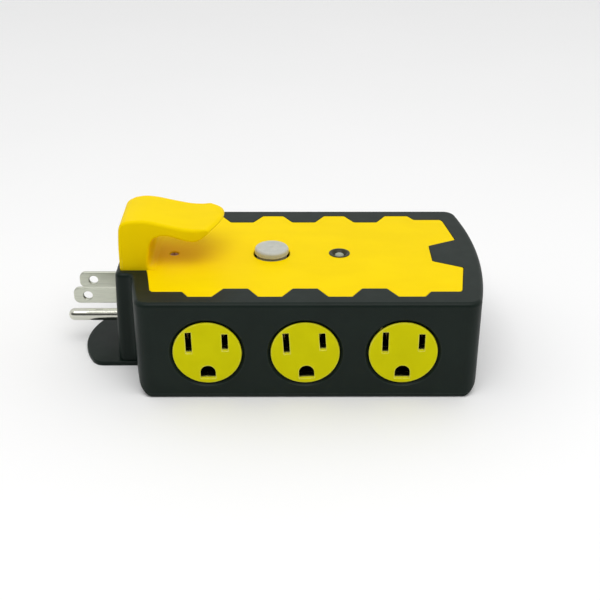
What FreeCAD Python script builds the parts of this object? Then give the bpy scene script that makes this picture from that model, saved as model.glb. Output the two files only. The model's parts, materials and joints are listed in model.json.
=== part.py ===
"""Six-outlet plug-in adapter with a hook, a push-to-reset breaker and an indicator lamp.

Frame: X runs along the box with the plug at -X, Y across it with the near outlets at -Y, and Z up.
The origin is the middle of the footprint, on the surface that the base cover stands on.
"""
import FreeCAD, Part
import math
import os
import re

import Sketcher
from FreeCAD import Placement, Rotation, Vector

# ---------------------------------------------------------------- driving dimensions, millimetres

SIZES = (
    # main box
    ("box_left", 50.65, "origin to the crown of the bowed left end"),
    ("box_right", 77.7, "origin to the crown of the bowed right end"),
    ("box_half", 40.2, "half the box's width"),
    ("box_top", 37.9, "top of the box"),
    ("bow_radius", 172, "plan radius of both ends"),
    ("corner_radius", 5, "upright corners"),
    ("wall", 2.5, "side walls"),
    ("roof", 1.6, "roof under the top cover"),
    ("top_round", 1.6, "top edges"),
    ("end_round", 5.5, "lower edges of both ends"),
    ("overrun", 1, "how far a cut starts or ends past the face it goes through"),
    # plug housing on the left end
    ("housing_half", 17.3, "half the housing's width"),
    ("housing_foot", 57.2, "origin to the housing's face at the bottom"),
    ("housing_head", 56, "origin to the housing's face at the top"),
    ("housing_hollow", 53.2, "origin to the far end of the housing's hollow"),
    ("housing_round", 2.4, "upright corners of the housing"),
    ("housing_blend", 2.6, "hollow corners between the housing and the box"),
    ("housing_join", 44, "origin to where the housing ends inside the box"),
    # base cover
    ("base_plate", 1.6, "thickness of the base cover"),
    ("base_round", 1, "bottom edge"),
    ("lip_gap", 0.3, "base cover's lip to the walls"),
    ("lip", 1.2, "thickness of the lip"),
    ("lip_top", 3.6, "top of the lip"),
    ("tongue_edge", 0.5, "upper rim of the tongue"),
    ("tongue_tip", 71.4, "origin to the tip of the tongue"),
    ("tongue_half", 18.2, "half the tongue's width"),
    ("tongue_bow", 30, "radius of the tongue's end"),
    ("tongue_corner", 5, "corners of the tongue's end"),
    # screw posts
    ("post_left", 39.8, "origin to the left posts"),
    ("post_right", 66, "origin to the right posts"),
    ("post_reach", 32, "centre plane to the posts"),
    ("post_radius", 4, "posts in the box"),
    ("cup_radius", 4.2, "screw cups in the base cover"),
    ("cup_top", 4.2, "top of the cups"),
    ("cup_floor", 2.4, "depth of the cups"),
    ("cup_gap", 0.4, "base screws' heads to the cups"),
    ("shank_gap", 0.25, "base screws' shanks to their holes"),
    ("screw_shank", 1.5, "radius of the base screws"),
    ("screw_head", 3, "radius of the base screws' heads"),
    ("screw_rise", 1.6, "height of the base screws' heads"),
    ("screw_dome", 0.7, "domed part of the base screws' heads"),
    ("screw_point", 0.5, "radius of the base screws' flat points"),
    ("screw_taper", 1.2, "length of the base screws' tapered points"),
    ("screw_length", 13.2, "length of the base screws"),
    ("screw_tip", 14, "depth of the posts' pilot holes"),
    ("pilot_radius", 1.35, "pilot holes in the posts"),
    ("driver_depth", 0.9, "depth of the base screws' driver recess"),
    # top cover
    ("panel_thick", 1.95, "thickness of the inlaid panel"),
    ("panel_gap", 0.2, "gap round the inlaid panel"),
    ("middle", 12.6, "X of the middle outlets and the middle notch"),
    ("tab_pitch", 24.4, "spacing of the tabs along each side"),
    ("tab_half", 4.1, "half a tab's straight edge"),
    ("tab_slope", 3.7, "length of a tab's sloped flank"),
    ("tab_reach", 34.5, "centre plane to the tabs"),
    ("notch_reach", 28.4, "centre plane to the notches"),
    ("shoulder_reach", 30.8, "centre plane to the end shoulders"),
    ("panel_round", 0.7, "corners of the panel"),
    ("tab_step", 1, "how far the outer tabs' long edges run on"),
    ("gate_floor", 59.8, "origin to the floor of the notch in the right end"),
    ("gate_half", 6.6, "half the width of that floor"),
    ("prong_x", 70.5, "origin to the tips of the right end's prongs"),
    ("prong_y", 12, "centre plane to the tips of the prongs"),
    ("right_x", 67.8, "origin to the panel's right corners"),
    ("shoulder_x", 67, "origin to the right shoulders' ends"),
    ("corner_y", 29.4, "centre plane to the panel's outer corners"),
    ("left_shoulder_x", 40.9, "origin to the left shoulders' ends"),
    ("left_x", 42, "origin to the panel's left corners"),
    ("flank_x", 44.2, "origin to the foot of the left flanks"),
    ("flank_y", 16.4, "centre plane to the foot of the left flanks"),
    ("neck_x", 45, "origin to where the panel passes under the hook"),
    ("neck_y", 13, "half the width of the panel under the hook"),
    ("hidden_x", 46, "origin to the panel's end inside the hook's foot"),
    ("hook_half", 14, "half the hook's width at its foot"),
    ("hook_half_top", 12.4, "half the hook's width at its top"),
    ("hook_top", 56.4, "top of the hook"),
    ("hook_foot", 54.4, "origin to the hook's outer face at its foot"),
    ("hook_root", 44.2, "origin to the hook's inner face at its foot"),
    ("hook_tip", 17.3, "origin to the hook's tip"),
    ("hook_nose", 4.8, "how far the tip stands out past its front corner"),
    ("hook_crown", 3, "Y of the tip's foremost point"),
    ("hook_corner", 4, "rear corner of the hook's leg"),
    ("peg_x_left", 24, "origin to the left pegs under the cover"),
    ("peg_x_right", 49, "origin to the right pegs under the cover"),
    ("peg_y", 24, "centre plane to the pegs"),
    ("peg_radius", 1.5, "radius of the pegs"),
    ("peg_length", 2.4, "length of the pegs"),
    ("peg_gap", 0.2, "pegs to their holes"),
    # outlets
    ("outlet_pitch", 34.35, "spacing of the outlets"),
    ("face_level", 18.35, "height of the socket faces' centres"),
    ("face_radius", 12.1, "radius of a socket face"),
    ("face_thick", 5.2, "thickness of a socket face"),
    ("flange_radius", 13.4, "radius of the flange behind the wall"),
    ("flange_start", 2.6, "depth of the flange's front"),
    ("bore_radius", 12.35, "openings in the walls"),
    ("bore_bevel", 1.1, "bevel round the openings"),
    ("slot_offset", 6.35, "slots to the outlet's centre line"),
    ("slot_rise", 4.48, "slots' centres above the face's centre"),
    ("slot_width", 2.2, "width of the slots"),
    ("neutral_slot", 7.9, "height of the neutral slot"),
    ("line_slot", 6.3, "height of the line slot"),
    ("ground_drop", 11.9, "ground opening's centre below the slots' centres"),
    ("ground_width", 5.4, "width of the ground opening"),
    ("ground_height", 4.8, "height of the ground opening"),
    ("lead_in", 0.6, "bevel under each opening"),
    ("face_edge", 0.4, "rounded rim of a socket face"),
    ("face_skin", 1.3, "thickness of the face round its openings"),
    ("relief", 0.9, "how far the recesses behind reach past the openings"),
    # contacts
    ("carrier_left", 34.8, "origin to the left end of the contact carriers"),
    ("carrier_right", 60.2, "origin to the right end of the contact carriers"),
    ("carrier_front", 34.9, "centre plane to the carriers' outer faces"),
    ("carrier_back", 20.2, "centre plane to the carriers' inner faces"),
    ("carrier_top", 31.4, "top of the carriers"),
    ("chamber_half", 2.2, "half the width of a blade's chamber"),
    ("chamber_low", 18, "floor of the blades' chambers"),
    ("chamber_high", 28, "ceiling of the blades' chambers"),
    ("pin_chamber_half", 3.4, "half the width of a pin's chamber"),
    ("pin_chamber_low", 5.4, "floor of the pins' chambers"),
    ("pin_chamber_high", 14.6, "ceiling of the pins' chambers"),
    ("strip", 0.8, "thickness of the contact strips"),
    ("strip_height", 3.6, "height of the contact strips"),
    ("line_strip", 27, "lower edge of the line strips"),
    ("neutral_strip", 16.4, "lower edge of the neutral strips"),
    ("ground_strip", 3.2, "lower edge of the ground strips"),
    ("line_leaves", 20.5, "lower edge of the line leaves"),
    ("neutral_leaves", 19.5, "lower edge of the neutral leaves"),
    ("ground_leaves", 6.4, "lower edge of the ground leaves"),
    ("leaf_height", 7, "height of the contact leaves"),
    ("blade_grip", 0.75, "half the gap between the leaves that grip a blade"),
    ("pin_grip", 2.4, "half the gap between the leaves that grip a pin"),
    ("short_end", 3, "a strip's shorter end past its last contact"),
    ("line_end", 11, "the line strip's longer end"),
    ("neutral_end", 10, "the neutral strip's longer end"),
    ("ground_end", 6, "the ground strip's two ends"),
    ("leaf", 0.5, "thickness of the contact leaves"),
    ("leaf_reach", 12.5, "length of the contact leaves"),
    ("jumper_reach", 19.4, "centre plane to the jumpers' ends"),
    ("jumper_flange", 3, "length of the jumpers' bent ends"),
    ("line_jumper_x", 34, "X of the line jumper"),
    ("neutral_jumper_x", 38, "X of the neutral jumper"),
    ("ground_jumper_x", 42, "X of the ground jumper"),
    # plug
    ("blade_level", 23.85, "height of the blades' centres"),
    ("blade_offset", 6.35, "blades to the centre plane"),
    ("blade_thick", 1.5, "thickness of a blade"),
    ("blade_height", 6.35, "height of a blade"),
    ("blade_tip", 73.6, "origin to the blades' tips"),
    ("blade_hole", 68.3, "origin to the blades' holes"),
    ("blade_hole_radius", 1.7, "radius of the blades' holes"),
    ("blade_corner", 2.2, "corners of the blades' tips"),
    ("blade_bevel", 0.4, "bevel on the blades' tips"),
    ("prong_gap", 0.1, "blades and pin to their holes in the housing"),
    ("insert_gap", 0.2, "plug insert to the housing's walls"),
    ("insert_top", 33, "top of the plug insert"),
    ("insert_length", 8, "length of the plug insert"),
    ("tail", 42, "origin to the inner ends of the blades and the pin"),
    ("pin_level", 12.1, "height of the ground pin"),
    ("pin_radius", 2.375, "radius of the ground pin"),
    ("pin_tip", 77.7, "origin to the tip of the ground pin"),
    ("pin_nose", 2.3, "length of the pin's rounded nose"),
    ("pin_step", 57.1, "origin to the step where the pin narrows at the housing's face"),
    ("pin_shank", 2, "radius of the pin inside the housing"),
    # breaker and push button
    ("button_x", 0.4, "X of the push button"),
    ("button_radius", 6.6, "radius of the push button"),
    ("button_low", 36.2, "lower rim of the push button"),
    ("button_top", 40.6, "top of the push button"),
    ("button_hollow", 5, "radius of the hollow in the push button"),
    ("button_ceiling", 38.8, "ceiling of that hollow"),
    ("button_edge", 1.9, "rounded shoulder of the push button"),
    ("button_dish", 0.2, "depth of the button's shallow dish"),
    ("dot_radius", 0.9, "radius of the mark in the middle"),
    ("dot_floor", 0.5, "radius of that mark's floor"),
    ("dot_depth", 0.5, "depth of that mark's floor"),
    ("button_hole", 6.95, "radius of the button's hole in the panel"),
    ("roof_hole", 7.3, "radius of the button's hole in the roof"),
    ("plunger_radius", 2.2, "radius of the button's stem"),
    ("plunger_low", 25, "lower end of the stem"),
    ("collar_low", 26.6, "bottom of the stem's collar"),
    ("collar_top", 28, "top of the stem's collar"),
    ("collar_radius", 3.2, "radius of the stem's collar"),
    ("neck_bore", 2.25, "radius of the bore that guides the stem"),
    ("neck_radius", 4.4, "radius of the breaker's neck"),
    ("neck_top", 33.6, "top of the breaker's neck"),
    ("case_half", 14, "half the breaker's length"),
    ("case_depth", 7, "half the breaker's depth"),
    ("case_low", 12, "bottom of the breaker"),
    ("case_top", 30.5, "top of the breaker"),
    ("case_wall", 1.5, "walls of the breaker"),
    ("lid_thick", 1.2, "thickness of the breaker's lid"),
    ("terminal_in", 8, "origin to the breaker's inlet terminal"),
    ("terminal_out", 9, "origin to the breaker's outlet terminal"),
    ("terminal_half", 3.2, "half the width of the terminals"),
    ("terminal_drop", 7, "how far the terminals hang below the breaker"),
    ("arm_in_top", 20, "top of the inlet terminal's arm"),
    ("arm_in_reach", 3.5, "length of that arm"),
    ("arm_out_top", 18.4, "top of the outlet terminal's arm"),
    ("arm_out_reach", 6, "length of that arm"),
    ("arm_width", 5, "width of both arms"),
    ("bimetal_left", 8, "origin to the fixed end of the bimetal strip"),
    ("bimetal_bend", 4, "origin to where the strip starts to rise"),
    ("bimetal_crest", 2, "X of the strip's crest"),
    ("bimetal_right", 6.6, "X of the strip's free end"),
    ("bimetal_low", 20, "level of the strip's two ends"),
    ("bimetal_rise", 1, "rise of the strip's crest"),
    ("bimetal_thick", 0.6, "thickness of the strip"),
    ("bimetal_width", 4.4, "width of the strip"),
    ("contact_x", 4.4, "X of the strip's contact"),
    ("contact_radius", 1.3, "radius of the contact"),
    ("contact_height", 2.3, "height of the contact"),
    ("spring_radius", 3.4, "mean radius of the button's spring"),
    ("spring_wire", 0.3, "radius of the spring's wire"),
    ("spring_pitch", 1.15, "pitch of the spring"),
    ("spring_gap", 0.05, "spring's ends to what they press on"),
    # indicator
    ("lamp_x", 25.7, "X of the indicator"),
    ("bezel_radius", 3.95, "radius of the bezel"),
    ("bezel_stem", 3.1, "radius of the bezel's stem"),
    ("bezel_rise", 0.25, "height of the bezel's flange"),
    ("bezel_edge", 0.15, "height of the flange's bevelled edge"),
    ("bezel_bevel", 0.35, "width of that edge"),
    ("bezel_low", 31, "lower end of the bezel"),
    ("bezel_gap", 0.1, "bezel's stem to its hole in the panel"),
    ("stem_gap", 0.4, "bezel's stem to its hole in the roof"),
    ("lamp_socket", 2.45, "radius of the bezel's inside"),
    ("lens_radius", 1.8, "radius of the lens"),
    ("lens_gap", 0.05, "lens to the bezel"),
    ("lens_drop", 0.9, "lens's edge below the box's top"),
    ("lens_crown", 0.1, "lens's middle above the box's top"),
    ("lens_seat", 35.2, "ledge in the bezel that the lens's flange meets"),
    ("lens_low", 34.2, "bottom of the lens"),
    ("lens_flange", 2.4, "radius of the lens's flange"),
    ("lens_ledge", 35.1, "top of the lens's flange"),
    ("lamp_radius", 2.2, "radius of the lamp"),
    ("lamp_low", 23, "bottom of the lamp"),
    ("lamp_shoulder", 32, "where the lamp's dome begins"),
    ("lamp_top", 34, "top of the lamp"),
    ("resistor_level", 18.2, "height of the resistor"),
    ("resistor_radius", 1.2, "radius of the resistor"),
    ("resistor_length", 6, "length of the resistor's body"),
    ("resistor_start", 3.5, "lamp's axis to the resistor's body"),
    ("riser_offset", 1.5, "lamp's axis to the resistor's upright lead"),
    # fixing under the hook
    ("fixing_x", 36, "origin to the cover screw"),
    ("fixing_head", 1.6, "radius of the cover screw's head"),
    ("fixing_rise", 0.8, "height of the cover screw's head"),
    ("fixing_sunk", 0.4, "how far the cover screw's head is let in"),
    ("fixing_edge", 0.2, "bevel of the cover screw's head"),
    ("fixing_gap", 0.1, "cover screw to its hole and countersink"),
    ("fixing_length", 8.4, "length of the cover screw"),
    ("fixing_taper", 0.9, "length of the cover screw's tapered point"),
    ("fixing_point", 0.4, "radius of the cover screw's flat point"),
    ("fixing_driver", 0.5, "depth of the cover screw's driver recess"),
    ("fixing_low", 28.2, "bottom of the cover screw's post"),
    ("fixing_trim", 0.5, "how far the cut that trims that post is wider"),
    ("fixing_shank", 0.95, "radius of the cover screw's shank"),
    ("fixing_pilot", 0.85, "pilot hole of the cover screw"),
    # wiring
    ("wire_radius", 1.3, "radius of the insulated wires"),
    ("lead_radius", 0.4, "radius of the lamp's leads"),
)

doc = FreeCAD.newDocument("six_outlet_adapter")
sheet = doc.addObject("Spreadsheet::Sheet", "dim")
for row, (alias, amount, note) in enumerate(SIZES, start=1):
    sheet.set("A%d" % row, alias)
    sheet.set("B%d" % row, str(amount))
    sheet.setAlias("B%d" % row, alias)
    sheet.set("C%d" % row, note)
doc.recompute()

ALIASES = {alias for alias, amount, note in SIZES}
SMALLEST_CUT = 0.05  # mm3: a cut that takes away less has missed the body
TAB_FLANK = 28  # degrees: how far a gap round the panel slides its corners along
PLACES = (-1, 0, 1)  # the three outlets of a row, in pitches from the middle one
parts = []


def bound(text):
    """A formula in plain words, with each cell's name made into a reference to the sheet."""
    def named(word):
        return "dim." + word.group() if word.group() in ALIASES else word.group()

    return re.sub(r"[a-z_]+", named, text)


def value(text):
    """What such a formula comes to."""
    return float(sheet.evalExpression(bound(text)))


def bind(thing, **formulas):
    """Tie properties of an object to formulas on the sheet."""
    for prop, text in formulas.items():
        thing.setExpression(prop.replace("__", "."), bound(text))


# ---------------------------------------------------------------- helpers for sketched bodies


def new_body(label):
    body = doc.addObject("PartDesign::Body", label)
    body.Label = label
    parts.append(body)
    return body


def new_sketch(body, name, plane, level=None):
    """A sketch on one of the body's own origin planes, raised to a level where one is given."""
    sketch = body.newObject("Sketcher::SketchObject", body.Label + "_" + name)
    support = next(item for item in body.Origin.OriginFeatures if item.Role == plane)
    sketch.AttachmentSupport = (support, [""])
    sketch.MapMode = "FlatFace"
    if level:
        sketch.setExpression("AttachmentOffset.Base.z", bound(level))
    return sketch


def pin_down(sketch, line, end, across, along):
    """Fix one end of a line at a place given by two formulas."""
    for text, kind, axis in ((across, "DistanceX", -2), (along, "DistanceY", -1)):
        amount = value(text)
        if abs(amount) < 1e-9:
            sketch.addConstraint(Sketcher.Constraint("PointOnObject", line, end, axis))
            continue
        index = sketch.addConstraint(Sketcher.Constraint(kind, -1, 1, line, end, amount))
        name = "%s_%d_%d" % (kind, line, end)
        sketch.renameConstraint(index, name)
        sketch.setExpression("Constraints." + name, bound(text))


def polygon(sketch, corners):
    """A closed outline of straight edges through corners given as pairs of formulas."""
    spots = [Vector(value(across), value(along), 0) for across, along in corners]
    first = sketch.GeometryCount
    for index, spot in enumerate(spots):
        sketch.addGeometry(Part.LineSegment(spot, spots[(index + 1) % len(spots)]))
    for index in range(len(spots)):
        following = first + (index + 1) % len(spots)
        sketch.addConstraint(Sketcher.Constraint("Coincident", first + index, 2, following, 1))
    for index, (across, along) in enumerate(corners):
        pin_down(sketch, first + index, 1, across, along)


def rectangle(sketch, low_across, high_across, low_along, high_along):
    polygon(sketch, [(low_across, low_along), (high_across, low_along),
                     (high_across, high_along), (low_across, high_along)])


def circle(sketch, across, along, radius):
    centre = Vector(value(across), value(along), 0)
    line = sketch.addGeometry(Part.Circle(centre, Vector(0, 0, 1), value(radius)))
    index = sketch.addConstraint(Sketcher.Constraint("Radius", line, value(radius)))
    name = "radius_%d" % line
    sketch.renameConstraint(index, name)
    sketch.setExpression("Constraints." + name, bound(radius))
    pin_down(sketch, line, 3, across, along)


def box_plan(sketch, inset, name="box"):
    """The box's plan outline: straight sides and bowed ends, moved in by an inset."""
    side = "(box_half - (%s))" % inset
    radius = "(bow_radius - (%s))" % inset
    sweep = math.asin(value(side) / value(radius))
    reach = value(radius) * math.cos(sweep)
    right_axis = value("box_right - bow_radius")
    left_axis = value("bow_radius - box_left")
    front, rear, right, left = range(sketch.GeometryCount, sketch.GeometryCount + 4)
    for y, start, end in ((-value(side), left_axis - reach, right_axis + reach),
                          (value(side), right_axis + reach, left_axis - reach)):
        sketch.addGeometry(Part.LineSegment(Vector(start, y, 0), Vector(end, y, 0)))
    for axis_x, start in ((right_axis, -sweep), (left_axis, math.pi - sweep)):
        bow = Part.Circle(Vector(axis_x, 0, 0), Vector(0, 0, 1), value(radius))
        sketch.addGeometry(Part.ArcOfCircle(bow, start, start + 2 * sweep))
    for first, second in ((front, right), (right, rear), (rear, left), (left, front)):
        sketch.addConstraint(Sketcher.Constraint("Coincident", first, 2, second, 1))
    for line in (front, rear):
        sketch.addConstraint(Sketcher.Constraint("Horizontal", line))
    for bow in (right, left):
        sketch.addConstraint(Sketcher.Constraint("PointOnObject", bow, 3, -1))
    for label, kind, points, text in (
            ("front_side", "DistanceY", (front, 1, -1, 1), side),
            ("rear_side", "DistanceY", (-1, 1, rear, 1), side),
            ("right_bow", "Radius", (right,), radius), ("left_bow", "Radius", (left,), radius),
            ("right_axis", "DistanceX", (right, 3, -1, 1), "bow_radius - box_right"),
            ("left_axis", "DistanceX", (-1, 1, left, 3), "bow_radius - box_left")):
        index = sketch.addConstraint(Sketcher.Constraint(kind, *points, value(text)))
        sketch.renameConstraint(index, name + "_" + label)
        sketch.setExpression("Constraints.%s_%s" % (name, label), bound(text))


def pad(body, name, sketch, length, both_ways=False, reverse=False):
    feature = body.newObject("PartDesign::Pad", body.Label + "_" + name)
    feature.Profile = sketch
    feature.Reversed = reverse
    if both_ways:
        feature.SideType = "Symmetric"
    bind(feature, Length=length)
    return feature


def pocket(body, name, sketch, length=None, both_ways=False, reverse=False):
    """Cut a sketch out of the body, and stop if nothing was cut."""
    doc.recompute()
    before = body.Shape.Volume
    feature = body.newObject("PartDesign::Pocket", body.Label + "_" + name)
    feature.Profile = sketch
    feature.Reversed = reverse
    if both_ways:
        feature.SideType = "Symmetric"
    if length:
        bind(feature, Length=length)
    else:
        feature.Type = "ThroughAll"
    doc.recompute()
    if not feature.Shape.Volume < before - SMALLEST_CUT:
        raise ValueError(feature.Name + " cut nothing")
    return feature


def edges_of(feature, test):
    """The names of a feature's edges that pass a test."""
    doc.recompute()
    chosen = [index for index, edge in enumerate(feature.Shape.Edges, start=1) if test(edge)]
    if not chosen:
        raise ValueError("no edge of " + feature.Name + " passed the test")
    return ["Edge%d" % index for index in chosen]


def soften(body, name, kind, test, amount):
    """Fillet or chamfer the edges of the body's tip that pass a test."""
    tip = body.Tip
    names = edges_of(tip, test)
    feature = body.newObject("PartDesign::" + kind, body.Label + "_" + name)
    feature.Base = (tip, names)
    bind(feature, **{"Radius" if kind == "Fillet" else "Size": amount})
    doc.recompute()
    return feature


def level_edge(height):
    """A test for edges that lie wholly at one height."""
    def test(edge):
        box = edge.BoundBox
        return abs(box.ZMin - height) < 0.01 and abs(box.ZMax - height) < 0.01
    return test


def upright_edge(places):
    """A test for upright edges that stand at given places in plan."""
    def test(edge):
        box = edge.BoundBox
        if box.XLength > 0.01 or box.YLength > 0.01:
            return False
        return any(math.hypot(box.XMin - x, box.YMin - y) < 0.05 for x, y in places)
    return test


def both_sides(points):
    return [(x, side * y) for x, y in points for side in (1, -1)]


def turned(label, profile, place):
    """A body turned about its own upright axis from a profile of (radius, height) formulas."""
    body = new_body(label)
    sketch = new_sketch(body, "profile", "XZ_Plane")
    polygon(sketch, profile)
    feature = body.newObject("PartDesign::Revolution", label + "_turned")
    feature.Profile = sketch
    feature.ReferenceAxis = (sketch, ["V_Axis"])
    body.Placement = place
    return body


def at(x, y, z):
    return Placement(Vector(value(x), value(y), value(z)), Rotation())


# ---------------------------------------------------------------- dark box and base


def round_lower_ends(body):
    """Round the lower edge of both bowed ends."""
    radius = value("end_round")
    beyond = 3
    cutter_sweep = 40
    for name, end, inward, axis_x in (("left", -value("box_left"), 1, value("bow_radius - box_left")),
                                      ("right", value("box_right"), -1, value("box_right - bow_radius"))):
        sketch = new_sketch(body, name + "_round_outline", "XZ_Plane")
        centre = Vector(end + inward * radius, radius, 0)
        low = Vector(centre.x, 0, 0)
        high = Vector(end, radius, 0)
        turns = (math.pi, 1.5 * math.pi) if inward > 0 else (1.5 * math.pi, 2 * math.pi)
        sketch.addGeometry(Part.ArcOfCircle(Part.Circle(centre, Vector(0, 0, 1), radius), *turns))
        outside = end - inward * beyond
        path = [low, Vector(centre.x, -beyond, 0), Vector(outside, -beyond, 0), Vector(outside, radius, 0),
                high]
        for start, finish in zip(path, path[1:]):
            sketch.addGeometry(Part.LineSegment(start, finish))
        sketch.addGeometry(Part.LineSegment(Vector(axis_x, 0, 0), Vector(axis_x, radius, 0)), True)
        doc.recompute()
        before = body.Shape.Volume
        groove = body.newObject("PartDesign::Groove", body.Label + "_" + name + "_round")
        groove.Profile = sketch
        groove.ReferenceAxis = (sketch, ["Axis0"])
        groove.Angle = cutter_sweep
        groove.Midplane = True
        doc.recompute()
        if not groove.Shape.Volume < before - SMALLEST_CUT:
            raise ValueError("the lower edge of the %s end wasn't rounded" % name)


def box_corners(inset):
    """Plan places of the box's four upright corners."""
    side = value("box_half") - inset
    radius = value("bow_radius") - inset
    reach = math.sqrt(radius ** 2 - side ** 2)
    return both_sides([(value("bow_radius - box_left") - reach, side),
                       (value("box_right - bow_radius") + reach, side)])


def post_places():
    """Plan places of the four screw posts."""
    return [(x, y) for x in ("-post_left", "post_right") for y in ("-post_reach", "post_reach")]


def panel_half(gap):
    """Half of the inlaid panel's outline, from the centre plane out, with a gap all round it."""
    grow = value(gap)
    slide = grow * math.tan(math.radians(TAB_FLANK))
    reach = value("tab_reach") + grow
    notch = value("notch_reach") + grow
    shoulder = value("shoulder_reach") + grow
    half = value("tab_half") + slide
    slope = value("tab_slope")
    middle = value("middle")
    pitch = value("tab_pitch")
    outer_slope = slope * (reach - shoulder) / (reach - notch)
    outer_end = middle + 1.5 * pitch + half + value("tab_step")
    corner = value("corner_y") + slide
    corners = [
        (value("gate_floor") + grow, 0), (value("gate_floor") + grow, value("gate_half") - slide),
        (value("prong_x") + grow, value("prong_y") - slide), (value("right_x") + grow, corner),
        (value("shoulder_x") + slide, shoulder), (outer_end + outer_slope, shoulder), (outer_end, reach),
    ]
    for place in (1.5, 0.5, -0.5, -1.5):
        tab = middle + place * pitch
        if place < 1.5:
            corners += [(tab + half + slope, notch), (tab + half, reach)]
        corners.append((tab - half, reach))
        if place > -1.5:
            corners.append((tab - half - slope, notch))
    neck = value("neck_y")
    hidden = -value("hidden_x")
    corners += [
        (middle - 1.5 * pitch - half - outer_slope, shoulder), (-value("left_shoulder_x") - slide, shoulder),
        (-value("left_x") - grow, corner), (-value("flank_x") - grow, value("flank_y")),
        (-value("neck_x") - slide, neck), (hidden, neck), (hidden, 0),
    ]
    return corners


def trace(sketch, corners):
    """A closed outline of straight edges through corners given as numbers."""
    spots = [Vector(x, y, 0) for x, y in corners]
    first = sketch.GeometryCount
    for index, spot in enumerate(spots):
        sketch.addGeometry(Part.LineSegment(spot, spots[(index + 1) % len(spots)]))
    for index in range(len(spots)):
        following = first + (index + 1) % len(spots)
        sketch.addConstraint(Sketcher.Constraint("Coincident", first + index, 2, following, 1))


def panel_outline(sketch, gap):
    half = panel_half(gap)
    trace(sketch, half + [(x, -y) for x, y in reversed(half[1:-1])])


def foot_outline(sketch, gap):
    """The plan outline of the hook's foot, grown by a gap, with its outer rear corner rounded."""
    radius = value("hook_corner") + gap
    outer = -value("hook_foot") - gap
    inner = gap - value("hook_root")
    half = value("hook_half") + gap
    centre = Vector(outer + radius, half - radius, 0)
    corner = Part.Circle(centre, Vector(0, 0, 1), radius)
    sketch.addGeometry(Part.ArcOfCircle(corner, math.pi / 2, math.pi))
    path = [Vector(outer, centre.y, 0), Vector(outer, -half, 0), Vector(inner, -half, 0),
            Vector(inner, half, 0), Vector(centre.x, half, 0)]
    for start, end in zip(path, path[1:]):
        sketch.addGeometry(Part.LineSegment(start, end))


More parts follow.
